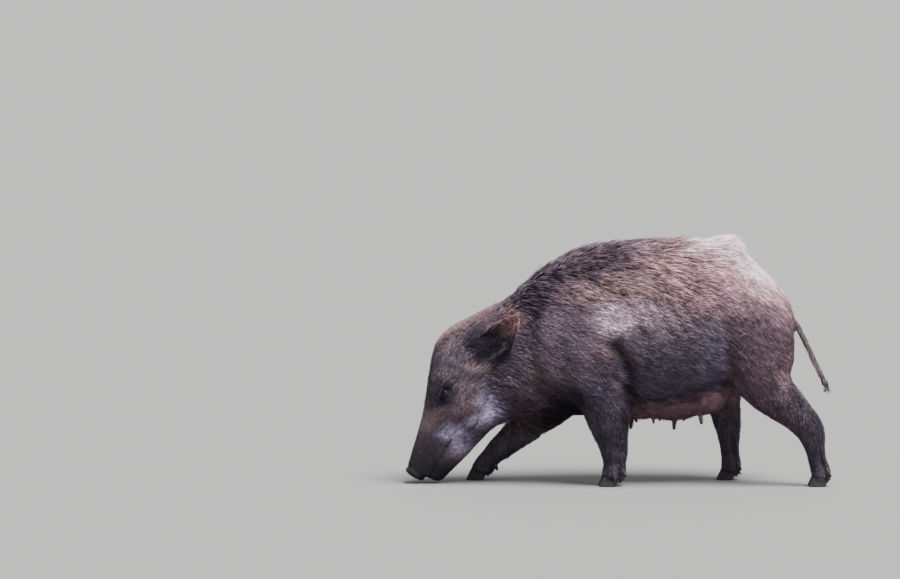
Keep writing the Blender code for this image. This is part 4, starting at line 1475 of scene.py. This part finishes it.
def skin_material():
    """Hide under short hair: the marking's colour with fine hair streaks, wrinkles and pores."""
    n = Nodes("hide")
    colour = n.marking()
    along_body = n.noise(1.0, 4.0, 0.6, n.stretched((520, 70, 420)))
    down_leg = n.noise(1.0, 4.0, 0.6, n.stretched((520, 420, 70)))
    legs = n.add("ShaderNodeAttribute", attribute_name="Leg").outputs["Fac"]
    streaks = n.add("ShaderNodeMix", {"Factor": legs, 2: along_body, 3: down_leg}).outputs[0]
    wrinkles = n.noise(1.0, 3.0, 0.5, n.stretched((60, 150, 150)))
    pores = n.noise(700, 2.0)
    amount = n.math("MULTIPLY", n.span(streaks, 0.55, 1.30), n.span(pores, 0.88, 1.12))
    height = n.math("ADD", n.math("MULTIPLY", streaks, 0.7), n.math("MULTIPLY", wrinkles, 0.6))
    return n.finish(
        Base_Color=n.shaded(colour, amount),
        Roughness=n.span(streaks, 0.55, 0.75),
        Specular_IOR_Level=0.21,
        Normal=n.bump(height, 0.55, 0.0012, n.bump(pores, 0.3, 0.0004)),
    )


def nose_material():
    """Moist black rooting disc: fine cobbled skin with a soft gloss."""
    n = Nodes("nose_disc")
    colour = n.marking()
    cells = n.add("ShaderNodeTexVoronoi", {"Scale": 620.0}).outputs["Distance"]
    folds = n.noise(180, 4.0)
    return n.finish(
        Base_Color=n.shaded(colour, n.span(folds, 0.7, 1.5)),
        Roughness=n.span(folds, 0.42, 0.62),
        Specular_IOR_Level=0.18,
        Normal=n.bump(cells, 0.5, 0.0005, n.bump(folds, 0.4, 0.0010)),
    )


def udder_material():
    """Bare wrinkled skin of the udder and teats."""
    n = Nodes("udder_hide")
    colour = n.marking()
    folds = n.noise(1.0, 4.0, 0.6, n.stretched((110, 50, 160)))
    pores = n.add("ShaderNodeTexVoronoi", {"Scale": 520.0}).outputs["Distance"]
    blotch = n.noise(38, 4.0)
    amount = n.math("MULTIPLY", n.span(blotch, 0.60, 1.28), n.span(folds, 0.85, 1.15))
    return n.finish(
        Base_Color=n.shaded(colour, amount),
        Roughness=n.span(folds, 0.46, 0.66),
        Specular_IOR_Level=0.28,
        Subsurface_Weight=0.06,
        Subsurface_Scale=0.004,
        Normal=n.bump(folds, 0.6, 0.0020, n.bump(pores, 0.35, 0.0005)),
    )


def horn_material():
    """Grey-black claw horn, ringed across and scuffed pale at the ground."""
    n = Nodes("claw_horn")
    where = n.add("ShaderNodeTexCoord").outputs["Object"]
    height = n.add("ShaderNodeSeparateXYZ", {0: where}).outputs["Z"]
    wave = {"Scale": 150.0, "Distortion": 3.0, "Detail": 3.0}
    rings = n.add("ShaderNodeTexWave", wave, bands_direction="Z").outputs["Fac"]
    grain = n.noise(1.0, 4.0, 0.6, n.stretched((700, 240, 90)))
    worn = n.add("ShaderNodeMapRange", {"Value": height, "From Max": 0.014, "To Min": 1.25, "To Max": 0.45})
    ramp = n.add("ShaderNodeValToRGB", {"Fac": n.math("MULTIPLY", grain, worn.outputs[0])})
    ramp.color_ramp.elements[0].color = (*TONE["muzzle"], 1)
    ramp.color_ramp.elements[1].color = (*linear(60, 53, 54), 1)
    return n.finish(
        Base_Color=ramp.outputs[0],
        Roughness=n.span(grain, 0.38, 0.62),
        Specular_IOR_Level=0.35,
        Normal=n.bump(grain, 0.4, 0.0006, n.bump(rings, 0.25, 0.0006)),
    )


def eye_material(side):
    """Dark brown iris round a black pupil, under a wet clear coat."""
    n = Nodes(f"wet_eye_{side}")
    middle, radius, _, _, out = eye_frame(side)
    where = n.add("ShaderNodeTexCoord").outputs["Object"]
    away = n.add("ShaderNodeVectorMath", {0: where, 1: tuple(middle)}, operation="SUBTRACT").outputs[0]
    turned = n.add("ShaderNodeVectorMath", {0: away, 1: tuple(out / radius)}, operation="DOT_PRODUCT")
    fibres = n.noise(1.0, 3.0, 0.6, n.stretched((900, 900, 900)))
    bright = n.math("ADD", turned.outputs["Value"], n.span(fibres, -0.02, 0.02))
    ramp = n.add("ShaderNodeValToRGB", {"Fac": bright})
    bands = ramp.color_ramp.elements
    bands[0].position, bands[0].color = 0.55, (*linear(50, 37, 32), 1)
    bands[1].position, bands[1].color = 0.955, (0.002, 0.002, 0.003, 1)
    for position, shares in ((0.66, (23, 15, 12)), (0.74, (56, 34, 22)), (0.90, (38, 22, 15))):
        band = bands.new(position)
        band.color = (*linear(*shares), 1)
    return n.finish(
        Base_Color=ramp.outputs[0],
        Roughness=n.span(fibres, 0.10, 0.18),
        Coat_Weight=0.11,
        Coat_Roughness=0.05,
        Specular_IOR_Level=0.09,
    )


FLOOR_TONE = 0.150


def floor_material():
    """Plain studio floor."""
    n = Nodes("studio_floor")
    mottle = n.noise(3.0, 3.0)
    dark, light = (FLOOR_TONE * share for share in (0.96, 1.04))
    ends = {6: (dark, dark, dark, 1), 7: (light, light, light, 1)}
    tone = n.add("ShaderNodeMix", {"Factor": mottle, **ends}, data_type="RGBA")
    return n.finish(Base_Color=tone.outputs[2], Roughness=n.span(mottle, 0.80, 0.90))


# ---- Floor, lights and camera ----

FLOOR_HALF = 160.0
CAMERA_FAR = 20.0
CLIP_END = 400
CAMERA_HEIGHT_DEG = 5.0
PHOTO_WIDTH = 2.565  # metres that the picture's width spans at the boar
AIM = (0.0, -0.4794, 0.5543)
SENSOR = 36.0
KEY_STRENGTH = 14.2
KEY_SOFTNESS_DEG = 34
KEY_COLOUR = (1.0, 0.985, 0.965)
KEY_FROM = (0.30, 0.34, 1.0)
ROUND_STRENGTH = 0.86
ROUND_COLOUR = (0.945, 0.945, 0.95, 1)


def add_floor():
    """A flat floor, so wide that its edge is past the horizon."""
    corners = np.array([(-1, -1, 0), (1, -1, 0), (1, 1, 0), (-1, 1, 0)], float) * FLOOR_HALF
    floor = mesh_of("floor", corners, np.array([(0, 1, 2), (0, 2, 3)]))
    floor.data.materials.append(floor_material())


def add_lights():
    """One broad soft light from above and a little behind, with pale light from all round."""
    key = bpy.data.lights.new("key", "SUN")
    key.energy = KEY_STRENGTH
    key.angle = math.radians(KEY_SOFTNESS_DEG)
    key.color = KEY_COLOUR
    lamp = linked("key", key)
    lamp.rotation_euler = Vector(KEY_FROM).to_track_quat("Z", "Y").to_euler()
    world = bpy.data.worlds.new("studio")
    bpy.context.scene.world = world
    world.use_nodes = True
    background = world.node_tree.nodes["Background"]
    background.inputs["Color"].default_value = ROUND_COLOUR
    background.inputs["Strength"].default_value = ROUND_STRENGTH


def add_camera():
    """Seen level from her left and a little above, with a long lens."""
    camera = bpy.data.cameras.new("camera")
    camera.sensor_width = SENSOR
    camera.lens = SENSOR * CAMERA_FAR / PHOTO_WIDTH
    camera.clip_end = CLIP_END
    eye = linked("camera", camera)
    tilt = math.radians(CAMERA_HEIGHT_DEG)
    aim = Vector(AIM)
    eye.location = aim + Vector((math.cos(tilt), 0, math.sin(tilt))) * CAMERA_FAR
    eye.rotation_euler = (aim - eye.location).to_track_quat("-Z", "Y").to_euler()
    bpy.context.scene.camera = eye


# ---- Put together ----


MOUTH_SHADE_SHARE = 0.85


def dress_skin(skin, solids):
    """Markings, materials and the coat's fields on the finished skin."""
    mesh = skin.data
    web = Web(mesh)
    fields, owner = hair_fields(mesh, web, solids)
    points, normals = read_points(mesh), read_normals(mesh)
    colours = markings(points, normals, fields, speck_of(points, 0.5))
    # painted shade along the crease of the mouth
    mouth_shade = mouth_line(points, web, owner)
    colours += MOUTH_SHADE_SHARE * mouth_shade[:, None] * (TONE["muzzle"] - colours)
    put_colours(mesh, colours)
    put_value(mesh, "Leg", one(fields, "leg"))
    for material in (skin_material(), nose_material(), udder_material()):
        mesh.materials.append(material)
    in_front = points[:, 1] < centre("neck")[1]
    kind = np.where(one(fields, "bare") > 0.5, np.where(in_front, 1, 2), 0)
    starts = read(mesh.polygons, "loop_start", 1)[:, 0]
    corners = read(mesh.loops, "vertex_index", 1)[:, 0]
    mesh.polygons.foreach_set("material_index", kind[corners[starts]].astype(np.int32))
    mesh.shade_smooth()
    return fields, owner


def main():
    """Everything, in order."""
    solids = Solids()
    skin = make_skin(solids)
    unwrap(skin)
    fields, owner = dress_skin(skin, solids)
    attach(skin, "root")
    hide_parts(*FLESH)
    surface = Surface(skin, fields)
    make_coat(surface, owner, coat_material())
    horn = horn_material()
    for name in CLAWS:
        only_material(frame["nodes"][name].data, horn)
        make_claw(name, horn)
    for side, name in EYES.items():
        only_material(frame["nodes"][name].data, eye_material(side))
        make_eye(side)
    add_floor()
    add_lights()
    add_camera()


main()
